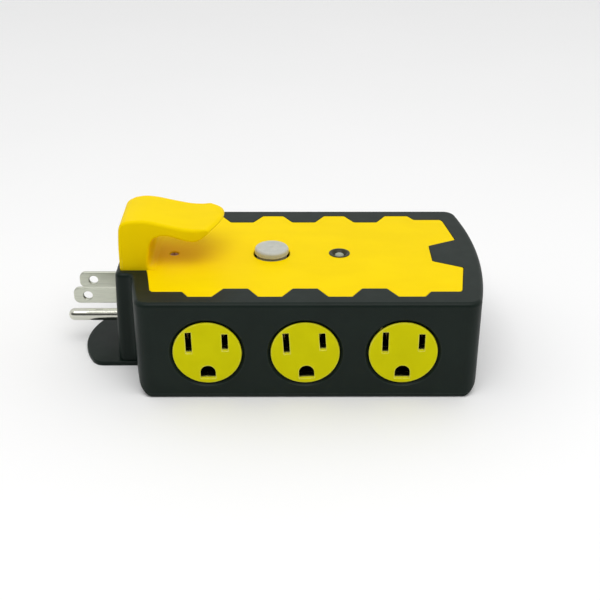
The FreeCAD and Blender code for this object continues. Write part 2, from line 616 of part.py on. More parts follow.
def make_body_shell():
    body = new_body("body_shell")
    plan = new_sketch(body, "plan", "XY_Plane", "base_plate")
    box_plan(plan, "0")
    pad(body, "block", plan, "box_top - base_plate")
    soften(body, "corners", "Fillet", upright_edge(box_corners(0)), "corner_radius")
    round_lower_ends(body)
    side = new_sketch(body, "housing_side", "XZ_Plane")
    slope = "(housing_foot - housing_head) / box_top"
    polygon(side, [("-housing_join", "base_plate"), ("-housing_join", "box_top"),
                   ("-housing_head", "box_top"), ("-(housing_foot - base_plate * %s)" % slope, "base_plate")])
    pad(body, "housing", side, "2 * housing_half", both_ways=True)
    face_x = -value("housing_head")

    def housing_corner(edge):
        box = edge.BoundBox
        tall = box.ZLength > 30
        return tall and box.XMax < face_x + 0.01 and abs(abs(box.YMin) - value("housing_half")) < 0.01

    soften(body, "housing_corners", "Fillet", housing_corner, "housing_round")

    def housing_hollow_corner(edge):
        box = edge.BoundBox
        beside = abs(abs(box.YMin) - value("housing_half")) < 0.01
        return box.ZLength > 30 and beside and box.XMin > face_x + value("housing_round")

    soften(body, "housing_blends", "Fillet", housing_hollow_corner, "housing_blend")
    soften(body, "top_edges", "Fillet", level_edge(value("box_top")), "top_round")
    inner = new_sketch(body, "hollow_plan", "XY_Plane", "base_plate")
    box_plan(inner, "wall")
    pocket(body, "hollow", inner, "box_top - panel_thick - roof - base_plate", reverse=True)
    duct = new_sketch(body, "duct_plan", "XY_Plane", "base_plate")
    rectangle(duct, "-housing_hollow", "-housing_join", "-(housing_half - wall)", "housing_half - wall")
    pocket(body, "duct", duct, "box_top - panel_thick - roof - base_plate", reverse=True)
    recess = new_sketch(body, "recess_plan", "XY_Plane", "box_top")
    panel_outline(recess, "panel_gap")
    pocket(body, "recess", recess, "panel_thick")
    foot = new_sketch(body, "foot_recess_plan", "XY_Plane", "box_top")
    foot_outline(foot, value("panel_gap"))
    pocket(body, "foot_recess", foot, "panel_thick")
    posts = new_sketch(body, "posts_plan", "XY_Plane", "cup_top")
    for x, y in post_places():
        circle(posts, x, y, "post_radius")
    circle(posts, "-fixing_x", "0", "post_radius")
    pad(body, "posts", posts, "box_top - panel_thick - roof / 2 - cup_top")
    trim = new_sketch(body, "fixing_trim_plan", "XY_Plane", "cup_top")
    circle(trim, "-fixing_x", "0", "post_radius + fixing_trim")
    pocket(body, "fixing_trim", trim, "fixing_low - cup_top", reverse=True)
    pilots = new_sketch(body, "pilots_plan", "XY_Plane", "cup_top")
    for x, y in post_places():
        circle(pilots, x, y, "pilot_radius")
    pocket(body, "pilots", pilots, "screw_tip", reverse=True)
    openings = new_sketch(body, "openings_outline", "XZ_Plane")
    for place in PLACES:
        circle(openings, "middle + %d * outlet_pitch" % place, "face_level", "bore_radius")
    pocket(body, "openings", openings, both_ways=True)

    def opening_rim(edge):
        box = edge.BoundBox
        return box.YLength < 0.01 and abs(abs(box.YMin) - value("box_half")) < 0.01 and box.XLength > 20 \
            and box.ZLength > 20

    soften(body, "bevels", "Chamfer", opening_rim, "bore_bevel")
    prongs = new_sketch(body, "prong_holes_outline", "YZ_Plane", "-housing_foot - overrun")
    for offset in ("-blade_offset", "blade_offset"):
        rectangle(prongs, offset + " - blade_thick / 2 - prong_gap",
                  offset + " + blade_thick / 2 + prong_gap",
                  "blade_level - blade_height / 2 - prong_gap", "blade_level + blade_height / 2 + prong_gap")
    circle(prongs, "0", "pin_level", "pin_radius + prong_gap")
    pocket(body, "prong_holes", prongs, "housing_foot - housing_hollow + 2 * overrun", reverse=True)
    top = new_sketch(body, "roof_holes_plan", "XY_Plane", "box_top")
    circle(top, "button_x", "0", "roof_hole")
    circle(top, "lamp_x", "0", "bezel_stem + stem_gap")
    circle(top, "-fixing_x", "0", "fixing_pilot")
    for x, y in peg_places():
        circle(top, x, y, "peg_radius + peg_gap")
    pocket(body, "roof_holes", top, "box_top - fixing_low + overrun")
    return body


def peg_places():
    """Plan places of the pegs under the top cover."""
    return [(x, y) for x in ("-peg_x_left", "peg_x_right") for y in ("-peg_y", "peg_y")]


def make_base_cover():
    body = new_body("base_cover")
    plan = new_sketch(body, "plan", "XY_Plane")
    box_plan(plan, "0")
    pad(body, "plate", plan, "base_plate")
    soften(body, "corners", "Fillet", upright_edge(box_corners(0)), "corner_radius")
    soften(body, "bottom_edge", "Fillet", level_edge(0), "base_round")
    round_lower_ends(body)
    tongue = new_sketch(body, "tongue_plan", "XY_Plane")
    half = value("tongue_half")
    bow = value("tongue_bow")
    sweep = math.asin(half / bow)
    centre = Vector(bow - value("tongue_tip"), 0, 0)
    end_x = centre.x - bow * math.cos(sweep)
    inner_x = -value("housing_join")
    corners = [Vector(end_x, -half, 0), Vector(inner_x, -half, 0), Vector(inner_x, half, 0),
               Vector(end_x, half, 0)]
    for start, end in zip(corners, corners[1:]):
        tongue.addGeometry(Part.LineSegment(start, end))
    circle_end = Part.Circle(centre, Vector(0, 0, 1), bow)
    tongue.addGeometry(Part.ArcOfCircle(circle_end, math.pi - sweep, math.pi + sweep))
    pad(body, "tongue", tongue, "base_plate")
    soften(body, "tongue_corners", "Fillet", upright_edge(both_sides([(end_x, half)])), "tongue_corner")

    def tongue_rim(edge):
        box = edge.BoundBox
        upper = box.ZMin > value("base_plate") - 0.01
        return upper and box.ZLength < 0.01 and box.XMax < -value("box_left")

    soften(body, "tongue_rim", "Fillet", tongue_rim, "tongue_edge")
    lip = new_sketch(body, "lip_plan", "XY_Plane", "base_plate")
    box_plan(lip, "wall + lip_gap", "lip_outside")
    box_plan(lip, "wall + lip_gap + lip", "lip_inside")
    pad(body, "lip", lip, "lip_top - base_plate")
    gate = new_sketch(body, "lip_gate_plan", "XY_Plane", "base_plate")
    rectangle(gate, "-box_left", "-housing_join", "-(housing_half - wall)", "housing_half - wall")
    pocket(body, "lip_gate", gate, "lip_top - base_plate", reverse=True)
    cups = new_sketch(body, "cups_plan", "XY_Plane", "base_plate")
    for x, y in post_places():
        circle(cups, x, y, "cup_radius")
    pad(body, "cups", cups, "cup_top - base_plate")
    heads = new_sketch(body, "heads_plan", "XY_Plane")
    for x, y in post_places():
        circle(heads, x, y, "screw_head + cup_gap")
    pocket(body, "heads", heads, "cup_floor", reverse=True)
    shanks = new_sketch(body, "shanks_plan", "XY_Plane")
    for x, y in post_places():
        circle(shanks, x, y, "screw_shank + shank_gap")
    pocket(body, "shanks", shanks, "cup_top + overrun", reverse=True)
    return body


# ---------------------------------------------------------------- top cover


def make_top_cover():
    body = new_body("top_cover")
    floor = "box_top - panel_thick"
    plan = new_sketch(body, "plan", "XY_Plane", floor)
    panel_outline(plan, "0")
    pad(body, "panel", plan, "panel_thick")
    foot = value("hook_foot")
    panel_edge = [(x, y) for x, y in panel_half("0") if y > value("hook_half")]
    soften(body, "panel_corners", "Fillet", upright_edge(both_sides(panel_edge)), "panel_round")
    side = new_sketch(body, "hook_side", "XZ_Plane")
    low = value(floor)
    tip = -value("hook_tip")
    outer_foot = Vector(-foot, low, 0)
    inner_foot = Vector(-value("hook_root"), low, 0)
    hook_line = [Vector(x, z, 0) for x, z in (
        (-54, 53), (-53.5, 54.8), (-51.9, 55.9), (-48.6, 56.35), (-45.6, 56.4), (-42, 55.95), (-38, 55),
        (-34, 54.1), (-30.3, 53.35), (-26.5, 53.05), (-22.4, 53.15), (tip - 2, 53.1), (tip - 0.5, 52.8),
        (tip, 52.2), (tip - 0.7, 51.7), (tip - 2.4, 51.2), (-21.8, 50.5), (-23.9, 49.4), (-26.3, 48.5),
        (-28.6, 48.25), (-30.6, 48.6), (-33, 49.4), (-35.7, 50.25), (-38.2, 50.5), (-40, 50.25),
        (-41.6, 49.5), (-42.8, 48.2), (-43.5, 46))]
    curve = Part.BSplineCurve()
    curve.interpolate(hook_line)
    side.addGeometry(curve)
    side.addGeometry(Part.LineSegment(outer_foot, hook_line[0]))
    side.addGeometry(Part.LineSegment(hook_line[-1], inner_foot))
    side.addGeometry(Part.LineSegment(inner_foot, outer_foot))
    pad(body, "hook", side, "2 * hook_half", both_ways=True)
    return body


def finish_top_cover(body):
    """Narrow the hook upwards, round its leg's rear corner, shape its tip and cut the cover's openings."""
    half = value("hook_half")
    low = value("box_top")
    high = value("hook_top")
    narrow = value("hook_half_top")
    beyond = 4
    for side, name in ((1, "rear"), (-1, "front")):
        taper = new_sketch(body, name + "_taper_outline", "YZ_Plane")
        trace(taper, [(side * half, low), (side * narrow, high), (side * narrow, high + beyond),
                      (side * (half + beyond), high + beyond), (side * (half + beyond), low)])
        pocket(body, name + "_taper", taper, both_ways=True)

    nose = new_sketch(body, "nose_plan", "XY_Plane", "box_top + overrun")
    tip = Vector(-value("hook_tip"), value("hook_crown"), 0)
    root = tip.x - value("hook_nose")
    front_bow = 0.36  # how far back the front arc's middle lies, in shares of the nose's length
    rear_bow = 0.22  # the same for the rear arc
    front_middle = Vector(tip.x - front_bow * value("hook_nose"), (tip.y - narrow) / 2, 0)
    rear_middle = Vector(tip.x - rear_bow * value("hook_nose"), (tip.y + narrow) / 2, 0)
    front_end = Vector(root, -narrow, 0)
    rear_end = Vector(root, narrow, 0)
    nose.addGeometry(Part.Arc(front_end, front_middle, tip))
    nose.addGeometry(Part.Arc(tip, rear_middle, rear_end))
    path = [rear_end, Vector(root, half + beyond, 0), Vector(tip.x + beyond, half + beyond, 0),
            Vector(tip.x + beyond, -half - beyond, 0), Vector(root, -half - beyond, 0), front_end]
    for start, end in zip(path, path[1:]):
        nose.addGeometry(Part.LineSegment(start, end))
    pocket(body, "nose", nose, reverse=True)

    corner = new_sketch(body, "leg_corner_plan", "XY_Plane", "box_top - panel_thick")
    radius = value("hook_corner")
    outer = -value("hook_foot")
    centre = Vector(outer + radius, half - radius, 0)
    corner.addGeometry(Part.ArcOfCircle(Part.Circle(centre, Vector(0, 0, 1), radius), math.pi / 2, math.pi))
    path = [Vector(outer, centre.y, 0), Vector(outer - beyond, centre.y, 0),
            Vector(outer - beyond, half + beyond, 0), Vector(centre.x, half + beyond, 0),
            Vector(centre.x, half, 0)]
    for start, end in zip(path, path[1:]):
        corner.addGeometry(Part.LineSegment(start, end))
    pocket(body, "leg_corner", corner, reverse=True)

    holes = new_sketch(body, "holes_plan", "XY_Plane", "box_top")
    circle(holes, "button_x", "0", "button_hole")
    circle(holes, "lamp_x", "0", "bezel_stem + bezel_gap")
    circle(holes, "-fixing_x", "0", "fixing_shank + fixing_gap")
    pocket(body, "holes", holes, "panel_thick + overrun")
    sink = new_sketch(body, "sink_plan", "XY_Plane", "box_top")
    circle(sink, "-fixing_x", "0", "fixing_head + fixing_gap")
    pocket(body, "sink", sink, "fixing_rise + fixing_sunk")
    pegs = new_sketch(body, "pegs_plan", "XY_Plane", "box_top - panel_thick")
    for x, y in peg_places():
        circle(pegs, x, y, "peg_radius")
    pad(body, "pegs", pegs, "peg_length", reverse=True)


# ---------------------------------------------------------------- outlets and their contacts


ROWS = (("front", -1), ("rear", 1))
# The outlets of a row: name, place, and degrees that the face sits turned in its opening.
OUTLETS = (("left", -1, 0.6), ("middle", 0, 3.6), ("right", 1, 0))


def outlet_places():
    """Name, X formula, side and twist of each outlet; the rear row is the front row turned half round."""
    for row, side in ROWS:
        for name, place, twist in OUTLETS:
            centre = "middle + %d * outlet_pitch" % (-side * place)
            yield "outlet_face_%s_%s" % (row, name), centre, side, twist


def make_outlet_face(label, x, side, twist):
    """A socket face, modelled about its own centre with its front at Y = 0 and its depth along +Y."""
    body = new_body(label)
    front = new_sketch(body, "disc_outline", "XZ_Plane")
    circle(front, "0", "0", "face_radius")
    pad(body, "disc", front, "face_thick", reverse=True)
    soften(body, "rim", "Fillet", lambda edge: edge.BoundBox.YMax < 0.01, "face_edge")
    flange = new_sketch(body, "flange_outline", "XZ_Plane", "-flange_start")
    circle(flange, "0", "0", "flange_radius")
    pad(body, "flange", flange, "face_thick - flange_start", reverse=True)
    slots = new_sketch(body, "slots_outline", "XZ_Plane")
    for middle, height in (("-slot_offset", "neutral_slot"), ("slot_offset", "line_slot")):
        rectangle(slots, middle + " - slot_width / 2", middle + " + slot_width / 2",
                  "slot_rise - %s / 2" % height, "slot_rise + %s / 2" % height)
    half = value("ground_width / 2")
    low = value("slot_rise - ground_drop - ground_height / 2")
    spring_line = low + value("ground_height") - half
    slots.addGeometry(Part.LineSegment(Vector(-half, spring_line, 0), Vector(-half, low, 0)))
    slots.addGeometry(Part.LineSegment(Vector(-half, low, 0), Vector(half, low, 0)))
    slots.addGeometry(Part.LineSegment(Vector(half, low, 0), Vector(half, spring_line, 0)))
    arch = Part.Circle(Vector(0, spring_line, 0), Vector(0, 0, 1), half)
    slots.addGeometry(Part.ArcOfCircle(arch, 0, math.pi))
    pocket(body, "slots", slots)
    sills = [low] + [value("slot_rise - %s / 2" % height) for height in ("neutral_slot", "line_slot")]

    def sill(edge):
        box = edge.BoundBox
        return box.YMax < 0.01 and box.ZLength < 0.01 and any(abs(box.ZMin - level) < 0.01 for level in sills)

    soften(body, "sills", "Chamfer", sill, "lead_in")
    recesses = new_sketch(body, "recesses_outline", "XZ_Plane", "-face_thick")
    for middle, height in (("-slot_offset", "neutral_slot"), ("slot_offset", "line_slot")):
        rectangle(recesses, middle + " - slot_width / 2 - relief", middle + " + slot_width / 2 + relief",
                  "slot_rise - %s / 2 - relief" % height, "slot_rise + %s / 2 + relief" % height)
    ground_low = "slot_rise - ground_drop - ground_height / 2 - relief"
    rectangle(recesses, "-ground_width / 2 - relief", "ground_width / 2 + relief",
              ground_low, ground_low + " + ground_height + 2 * relief")
    pocket(body, "recesses", recesses, "face_thick - face_skin", reverse=True)
    turn = Rotation(Vector(0, 0, 1), 180 if side > 0 else 0)
    tilt = Rotation(Vector(0, 1, 0), -twist)
    spot = Vector(value(x), side * value("box_half"), value("face_level"))
    body.Placement = Placement(spot, turn.multiply(tilt))


def make_carrier(label, side):
    """The insulating block behind a row of outlets, with a chamber behind each opening."""
    body = new_body(label)
    block = new_sketch(body, "outline", "XZ_Plane", "carrier_back")
    rectangle(block, "-carrier_left - middle", "carrier_right - middle", "base_plate", "carrier_top")
    pad(body, "block", block, "carrier_front - carrier_back")
    chambers = new_sketch(body, "chambers_outline", "XZ_Plane", "carrier_back")
    for place in PLACES:
        middle = "%d * outlet_pitch" % place
        for offset in (" - slot_offset", " + slot_offset"):
            rectangle(chambers, middle + offset + " - chamber_half", middle + offset + " + chamber_half",
                      "chamber_low", "chamber_high")
        rectangle(chambers, middle + " - pin_chamber_half", middle + " + pin_chamber_half",
                  "pin_chamber_low", "pin_chamber_high")
    pocket(body, "chambers", chambers, "carrier_front - carrier_back", reverse=True)
    turn = Rotation(Vector(0, 0, 1), 180 if side > 0 else 0)
    body.Placement = Placement(Vector(value("middle"), 0, 0), turn)


STRIPS = {
    # pole: (leaves' offset from an outlet's centre line, half their gap, the strip's left and right ends)
    "line": ("slot_offset", "blade_grip", "short_end", "line_end"),
    "neutral": ("-slot_offset", "blade_grip", "neutral_end", "short_end"),
    "ground": ("0", "pin_grip", "ground_end", "ground_end"),
}


def make_bus(pole, row, side):
    """One pole's stamped strip behind a row of outlets, with a pair of leaves for each opening."""
    offset, gap, left_end, right_end = STRIPS[pole]
    low = pole + "_strip"
    leaf_low = pole + "_leaves"
    body = new_body("%s_bus_%s" % (pole, row))
    outline = new_sketch(body, "strip_outline", "XZ_Plane", "jumper_reach")
    rectangle(outline, "-outlet_pitch + %s - %s" % (offset, left_end),
              "outlet_pitch + %s + %s" % (offset, right_end), low, low + " + strip_height")
    pad(body, "strip", outline, "strip")
    leaves = new_sketch(body, "leaves_outline", "XZ_Plane", "jumper_reach")
    for place in PLACES:
        middle = "%d * outlet_pitch + (%s)" % (place, offset)
        for start, end in (("%s - %s - leaf", "%s - %s"), ("%s + %s", "%s + %s + leaf")):
            rectangle(leaves, start % (middle, gap), end % (middle, gap),
                      leaf_low, leaf_low + " + leaf_height")
    pad(body, "leaves", leaves, "strip + leaf_reach")
    turn = Rotation(Vector(0, 0, 1), 180 if side > 0 else 0)
    body.Placement = Placement(Vector(value("middle"), 0, 0), turn)


def make_jumper(pole):
    """A strap bent into a channel that joins a pole's front and rear strips."""
    x = pole + "_jumper_x"
    flange = x + " + jumper_flange"
    inner = x + " + strip"
    reach = "jumper_reach"
    body = new_body(pole + "_jumper")
    plan = new_sketch(body, "plan", "XY_Plane", pole + "_strip")
    polygon(plan, [(x, "-" + reach), (flange, "-" + reach), (flange, "-" + reach + " + strip"),
                   (inner, "-" + reach + " + strip"), (inner, reach + " - strip"),
                   (flange, reach + " - strip"), (flange, reach), (x, reach)])
    pad(body, "strap", plan, "strip_height")


# ---------------------------------------------------------------- plug


def make_blade(label, offset):
    body = new_body(label)
    side = new_sketch(body, "outline", "XZ_Plane")
    rectangle(side, "-blade_tip", "-tail", "blade_level - blade_height / 2", "blade_level + blade_height / 2")
    circle(side, "-blade_hole", "blade_level", "blade_hole_radius")
    pad(body, "blank", side, "blade_thick", both_ways=True)
    tip = -value("blade_tip")

    def tip_corner(edge):
        box = edge.BoundBox
        return box.XMax < tip + 0.01 and box.ZLength < 0.01

    soften(body, "corners", "Fillet", tip_corner, "blade_corner")

    def tip_rim(edge):
        return edge.BoundBox.XMax < tip + 0.01 and edge.BoundBox.ZLength > 1

    soften(body, "nose", "Chamfer", tip_rim, "blade_bevel")
    body.Placement = at("0", offset, "0")


def make_ground_pin():
    radius = value("pin_radius")
    nose = value("pin_nose")
    length = value("pin_tip - tail")
    body = new_body("ground_pin")
    sketch = new_sketch(body, "profile", "XZ_Plane")
    shoulder_share = 0.8
    shoulder_drop = 0.4
    flat_share = 0.3
    start = Vector(radius, length - nose, 0)
    middle = Vector(radius * shoulder_share, length - nose * shoulder_drop, 0)
    flat = Vector(radius * flat_share, length, 0)
    sketch.addGeometry(Part.Arc(start, middle, flat))
    step = value("pin_step - tail")
    shank = value("pin_shank")
    path = [flat, Vector(0, length, 0), Vector(0, 0, 0), Vector(shank, 0, 0), Vector(shank, step, 0),
            Vector(radius, step, 0), start]
    for first, second in zip(path, path[1:]):
        sketch.addGeometry(Part.LineSegment(first, second))
    feature = body.newObject("PartDesign::Revolution", "ground_pin_turned")
    feature.Profile = sketch
    feature.ReferenceAxis = (sketch, ["V_Axis"])
    body.Placement = Placement(Vector(-value("tail"), 0, value("pin_level")), Rotation(Vector(0, 1, 0), -90))


def make_plug_insert():
    body = new_body("plug_insert")
    outline = new_sketch(body, "outline", "YZ_Plane", "-housing_hollow")
    rectangle(outline, "-(housing_half - wall - insert_gap)", "housing_half - wall - insert_gap",
              "base_plate", "insert_top")
    pad(body, "block", outline, "insert_length")
    holes = new_sketch(body, "holes_outline", "YZ_Plane", "-housing_hollow")
    for offset in ("-blade_offset", "blade_offset"):
        rectangle(holes, offset + " - blade_thick / 2", offset + " + blade_thick / 2",
                  "blade_level - blade_height / 2", "blade_level + blade_height / 2")
    circle(holes, "0", "pin_level", "pin_shank")
    pocket(body, "holes", holes, "insert_length", reverse=True)


# ---------------------------------------------------------------- breaker and push button


TERMINALS = ("-terminal_in", "terminal_out")


def make_breaker():
    case = new_body("breaker_case")
    plan = new_sketch(case, "outline", "XZ_Plane")
    rectangle(plan, "button_x - case_half", "button_x + case_half", "case_low", "case_top")
    pad(case, "block", plan, "2 * case_depth", both_ways=True)
    hollow = new_sketch(case, "hollow_outline", "XZ_Plane", "case_depth")
    rectangle(hollow, "button_x - case_half + case_wall", "button_x + case_half - case_wall",
              "case_low + case_wall", "case_top - case_wall")
    pocket(case, "hollow", hollow, "2 * case_depth - case_wall")
    neck = new_sketch(case, "neck_plan", "XY_Plane", "case_top")
    circle(neck, "button_x", "0", "neck_radius")
    pad(case, "neck", neck, "neck_top - case_top")
    bore = new_sketch(case, "bore_plan", "XY_Plane", "neck_top")
    circle(bore, "button_x", "0", "neck_bore")
    pocket(case, "bore", bore, "neck_top - case_top + case_wall + overrun")
    slots = new_sketch(case, "tab_slots_plan", "XY_Plane", "case_low")
    for x in TERMINALS:
        rectangle(slots, x + " - strip / 2", x + " + strip / 2", "-terminal_half", "terminal_half")
    pocket(case, "tab_slots", slots, "case_wall", reverse=True)

    lid = new_body("breaker_lid")
    face = new_sketch(lid, "outline", "XZ_Plane", "case_depth")
    rectangle(face, "button_x - case_half", "button_x + case_half", "case_low", "case_top")
    pad(lid, "plate", face, "lid_thick")

    for name, x, end in (("in", TERMINALS[0], "arm_in_reach - terminal_in"),
                         ("out", TERMINALS[1], "terminal_out - arm_out_reach")):
        terminal = new_body("breaker_terminal_" + name)
        top = "arm_%s_top" % name
        outline = new_sketch(terminal, "outline", "XZ_Plane")
        rectangle(outline, x + " - strip / 2", x + " + strip / 2", "case_low - terminal_drop", top)
        pad(terminal, "tab", outline, "2 * terminal_half", both_ways=True)
        arm = new_sketch(terminal, "arm_outline", "XZ_Plane")
        rectangle(arm, *sorted((x, end), key=value), top + " - strip", top)
        pad(terminal, "arm", arm, "arm_width", both_ways=True)

    strip = new_body("bimetal_strip")
    side = new_sketch(strip, "outline", "XZ_Plane")
    line = [("-bimetal_left", "bimetal_low"), ("-bimetal_bend", "bimetal_low"),
            ("bimetal_crest", "bimetal_low + bimetal_rise"), ("bimetal_right", "bimetal_low")]
    polygon(side, line + [(x, z + " + bimetal_thick") for x, z in reversed(line)])
    pad(strip, "blank", side, "bimetal_width", both_ways=True)
    contact = new_sketch(strip, "contact_outline", "XY_Plane", "arm_out_top")
    circle(contact, "contact_x", "0", "contact_radius")
    pad(strip, "contact", contact, "contact_height")


def make_button():
    top = "button_top"
    turned("reset_button", [
        ("0", "button_ceiling"), ("button_hollow", "button_ceiling"), ("button_hollow", "button_low"),
        ("button_radius", "button_low"), ("button_radius", top + " - button_edge"),
        ("button_radius - 0.13 * button_edge", top + " - button_edge / 2"),
        ("button_radius - button_edge / 2", top + " - 0.13 * button_edge"),
        ("button_radius - button_edge", top), ("dot_radius", top + " - button_dish"),
        ("dot_floor", top + " - dot_depth"), ("0", top + " - dot_depth")], at("button_x", "0", "0"))
    turned("button_plunger", [
        ("0", "plunger_low"), ("plunger_radius", "plunger_low"), ("plunger_radius", "collar_low"),
        ("collar_radius", "collar_low"), ("collar_radius", "collar_top"), ("plunger_radius", "collar_top"),
        ("plunger_radius", "button_ceiling"), ("0", "button_ceiling")], at("button_x", "0", "0"))
    spring = new_body("button_spring")
    section = new_sketch(spring, "wire", "XZ_Plane")
    circle(section, "spring_radius", "0", "spring_wire")
    coil = spring.newObject("PartDesign::AdditiveHelix", "button_spring_coil")
    coil.Profile = section
    coil.ReferenceAxis = (section, ["V_Axis"])
    coil.Mode = "pitch-height-angle"
    bind(coil, Pitch="spring_pitch", Height="button_ceiling - neck_top - 2 * spring_wire - 2 * spring_gap")
    spring.Placement = at("button_x", "0", "neck_top + spring_wire + spring_gap")


# ---------------------------------------------------------------- indicator


def make_indicator():
    place = at("lamp_x", "0", "0")
    lens = "lens_radius"
    bezel_top = "box_top + bezel_rise"
    turned("indicator_bezel", [
        ("lamp_socket", "bezel_low"), ("bezel_stem", "bezel_low"), ("bezel_stem", "box_top"),
        ("bezel_radius", "box_top"), ("bezel_radius", bezel_top + " - bezel_edge"),
        ("bezel_radius - bezel_bevel", bezel_top), ("bezel_stem", bezel_top),
        (lens + " + lens_gap", "box_top - lens_drop"), (lens + " + lens_gap", "lens_seat"),
        ("lamp_socket", "lens_seat")], place)
    turned("indicator_lens", [
        ("0", "lens_low"), ("lens_flange", "lens_low"), ("lens_flange", "lens_ledge"), (lens, "lens_ledge"),
        (lens, "box_top - lens_drop"), (lens + " * 0.83", "box_top - lens_drop / 4"),
        (lens + " / 2", "box_top + lens_crown - lens_gap"), ("0", "box_top + lens_crown")], place)
    turned("indicator_lamp", [
        ("0", "lamp_low"), ("lamp_radius", "lamp_low"), ("lamp_radius", "lamp_shoulder"),
        ("lamp_radius * 0.73", "lamp_top - 0.6"), ("lamp_radius * 0.32", "lamp_top - 0.1"),
        ("0", "lamp_top")], place)
    resistor = new_body("lamp_resistor")
    lead_start = "riser_offset - lead_radius"
    ends = new_sketch(resistor, "lead_outline", "YZ_Plane", "lamp_x + " + lead_start)
    circle(ends, "0", "resistor_level", "lead_radius")
    pad(resistor, "lead", ends, "neutral_jumper_x - lamp_x - (%s)" % lead_start)
    core = new_sketch(resistor, "core_outline", "YZ_Plane", "lamp_x + resistor_start")
    circle(core, "0", "resistor_level", "resistor_radius")
    pad(resistor, "core", core, "resistor_length")
    riser = new_sketch(resistor, "riser_plan", "XY_Plane", "resistor_level")
    circle(riser, "lamp_x + riser_offset", "0", "lead_radius")
    pad(resistor, "riser", riser, "lamp_low - resistor_level")


# ---------------------------------------------------------------- screws


def cross_recess(body, level, size, depth):
    """A cross-shaped driver recess cut down from a screw head's top."""
    for name, across, along in (("recess_long", size, size + " / 4"), ("recess_wide", size + " / 4", size)):
        sketch = new_sketch(body, name + "_plan", "XY_Plane", level)
        rectangle(sketch, "-(%s)" % across, across, "-(%s)" % along, along)
        pocket(body, name, sketch, depth)


def screw_profile(head, rise, bevel_in, bevel_down, shank, length, taper, point):
    """A screw's half section from its head's top at height 0 down to its flat point, in formulas."""
    return [("0", "0"), ("%s - (%s)" % (head, bevel_in), "0"), (head, "-(%s)" % bevel_down),
            (head, "-" + rise), (shank, "-" + rise), (shank, "-(%s - %s)" % (length, taper)),
            (point, "-" + length), ("0", "-" + length)]


def make_screws():
    screws = []
    for index, (x, y) in enumerate(post_places(), start=1):
        profile = screw_profile("screw_head", "screw_rise", "screw_head * 0.4", "screw_dome", "screw_shank",
                                "screw_length", "screw_taper", "screw_point")
        screw = turned("base_screw_%d" % index, profile, Placement())
        cross_recess(screw, "0", "screw_head * 0.55", "driver_depth")
        top_down = Rotation(Vector(1, 0, 0), 180)
        screw.Placement = Placement(Vector(value(x), value(y), value("cup_floor - screw_rise")), top_down)
        parts.remove(screw)
        screws.append(screw)
    group = doc.addObject("Part::Compound", "base_screws")
    group.Links = screws
    parts.append(group)
    profile = screw_profile("fixing_head", "fixing_rise", "fixing_edge", "fixing_edge", "fixing_shank",
                            "fixing_length", "fixing_taper", "fixing_point")
    fixing = turned("cover_screw", profile, at("-fixing_x", "0", "box_top - fixing_sunk"))
    cross_recess(fixing, "0", "fixing_head * 0.6", "fixing_driver")


# ---------------------------------------------------------------- wiring


def make_wire(label, route, radius):
    """An insulated wire along straight runs joined by the largest tangent arcs that fit."""
    spots = [Vector(*[value(text) for text in spot]) for spot in route]
    edges = []
    start = spots[0]
    for before, corner, after in zip(spots, spots[1:], spots[2:]):
        back = before - corner
        ahead = after - corner
        trim = 0.45 * min(back.Length, ahead.Length)
        back.normalize()
        ahead.normalize()
        arc_start = corner + back * trim
        arc_end = corner + ahead * trim
        half_turn = (math.pi - back.getAngle(ahead)) / 2
        bend = trim / math.tan(half_turn)
        inward = (back + ahead).normalize()
        middle = corner + inward * (bend / math.cos(half_turn) - bend)
        edges.append(Part.LineSegment(start, arc_start).toShape())
        edges.append(Part.Arc(arc_start, middle, arc_end).toShape())
        start = arc_end
    edges.append(Part.LineSegment(start, spots[-1]).toShape())
    path = Part.Wire(edges)
    first_run = spots[1] - spots[0]
    section = Part.Wire([Part.Circle(spots[0], first_run, value(radius)).toShape()])
    wire = doc.addObject("Part::Feature", label)
    wire.Shape = path.makePipeShell([section], True, False)
    wire.Label = label
    parts.append(wire)


def make_wiring():
    tail = "-tail"
    level = "blade_level"
    low = "case_low - 4"
    line = "line_strip + strip_height / 2"
    neutral = "neutral_strip + strip_height / 2"
    ground = "ground_strip + strip_height / 2"
    make_wire("line_wire_in", [
        (tail, "blade_offset", level), ("-33", "blade_offset", level), ("-24", "4", "12"),
        ("-16", "0", low), ("%s - strip / 2" % TERMINALS[0], "0", low)], "wire_radius")
    make_wire("line_wire_out", [
        ("%s + strip / 2" % TERMINALS[1], "0", low), ("16", "0", low), ("24", "9", "12"), ("28", "10", "22"),
        ("29", "10", line), ("line_jumper_x", "10", line)], "wire_radius")
    make_wire("neutral_wire", [
        (tail, "-blade_offset", level), ("-34", "-blade_offset", level), ("-25", "-10", neutral),
        ("-25", "-jumper_reach", neutral)], "wire_radius")
    make_wire("ground_wire", [
        (tail, "0", "pin_level"), ("-34", "0", "pin_level"), ("-24", "-9", ground),
        ("-24", "-jumper_reach", ground)], "wire_radius")
    make_wire("lamp_lead", [
        ("lamp_x - 1.4", "0", "lamp_low"), ("lamp_x - 1.4", "0", "20.5"), ("27", "-5", "23"),
        ("29", "-6", line), ("line_jumper_x", "-6", line)], "lead_radius")


# ---------------------------------------------------------------- build, check and write


make_body_shell()
make_base_cover()
finish_top_cover(make_top_cover())
for label, x, side, twist in outlet_places():
    make_outlet_face(label, x, side, twist)
for row, side in ROWS:
    make_carrier("contact_carrier_" + row, side)
    for pole in STRIPS:
        make_bus(pole, row, side)
for pole in STRIPS:
    make_jumper(pole)
make_blade("line_blade", "blade_offset")
make_blade("neutral_blade", "-blade_offset")
make_ground_pin()
make_plug_insert()
make_breaker()
make_button()
make_indicator()
make_screws()
make_wiring()
doc.recompute()

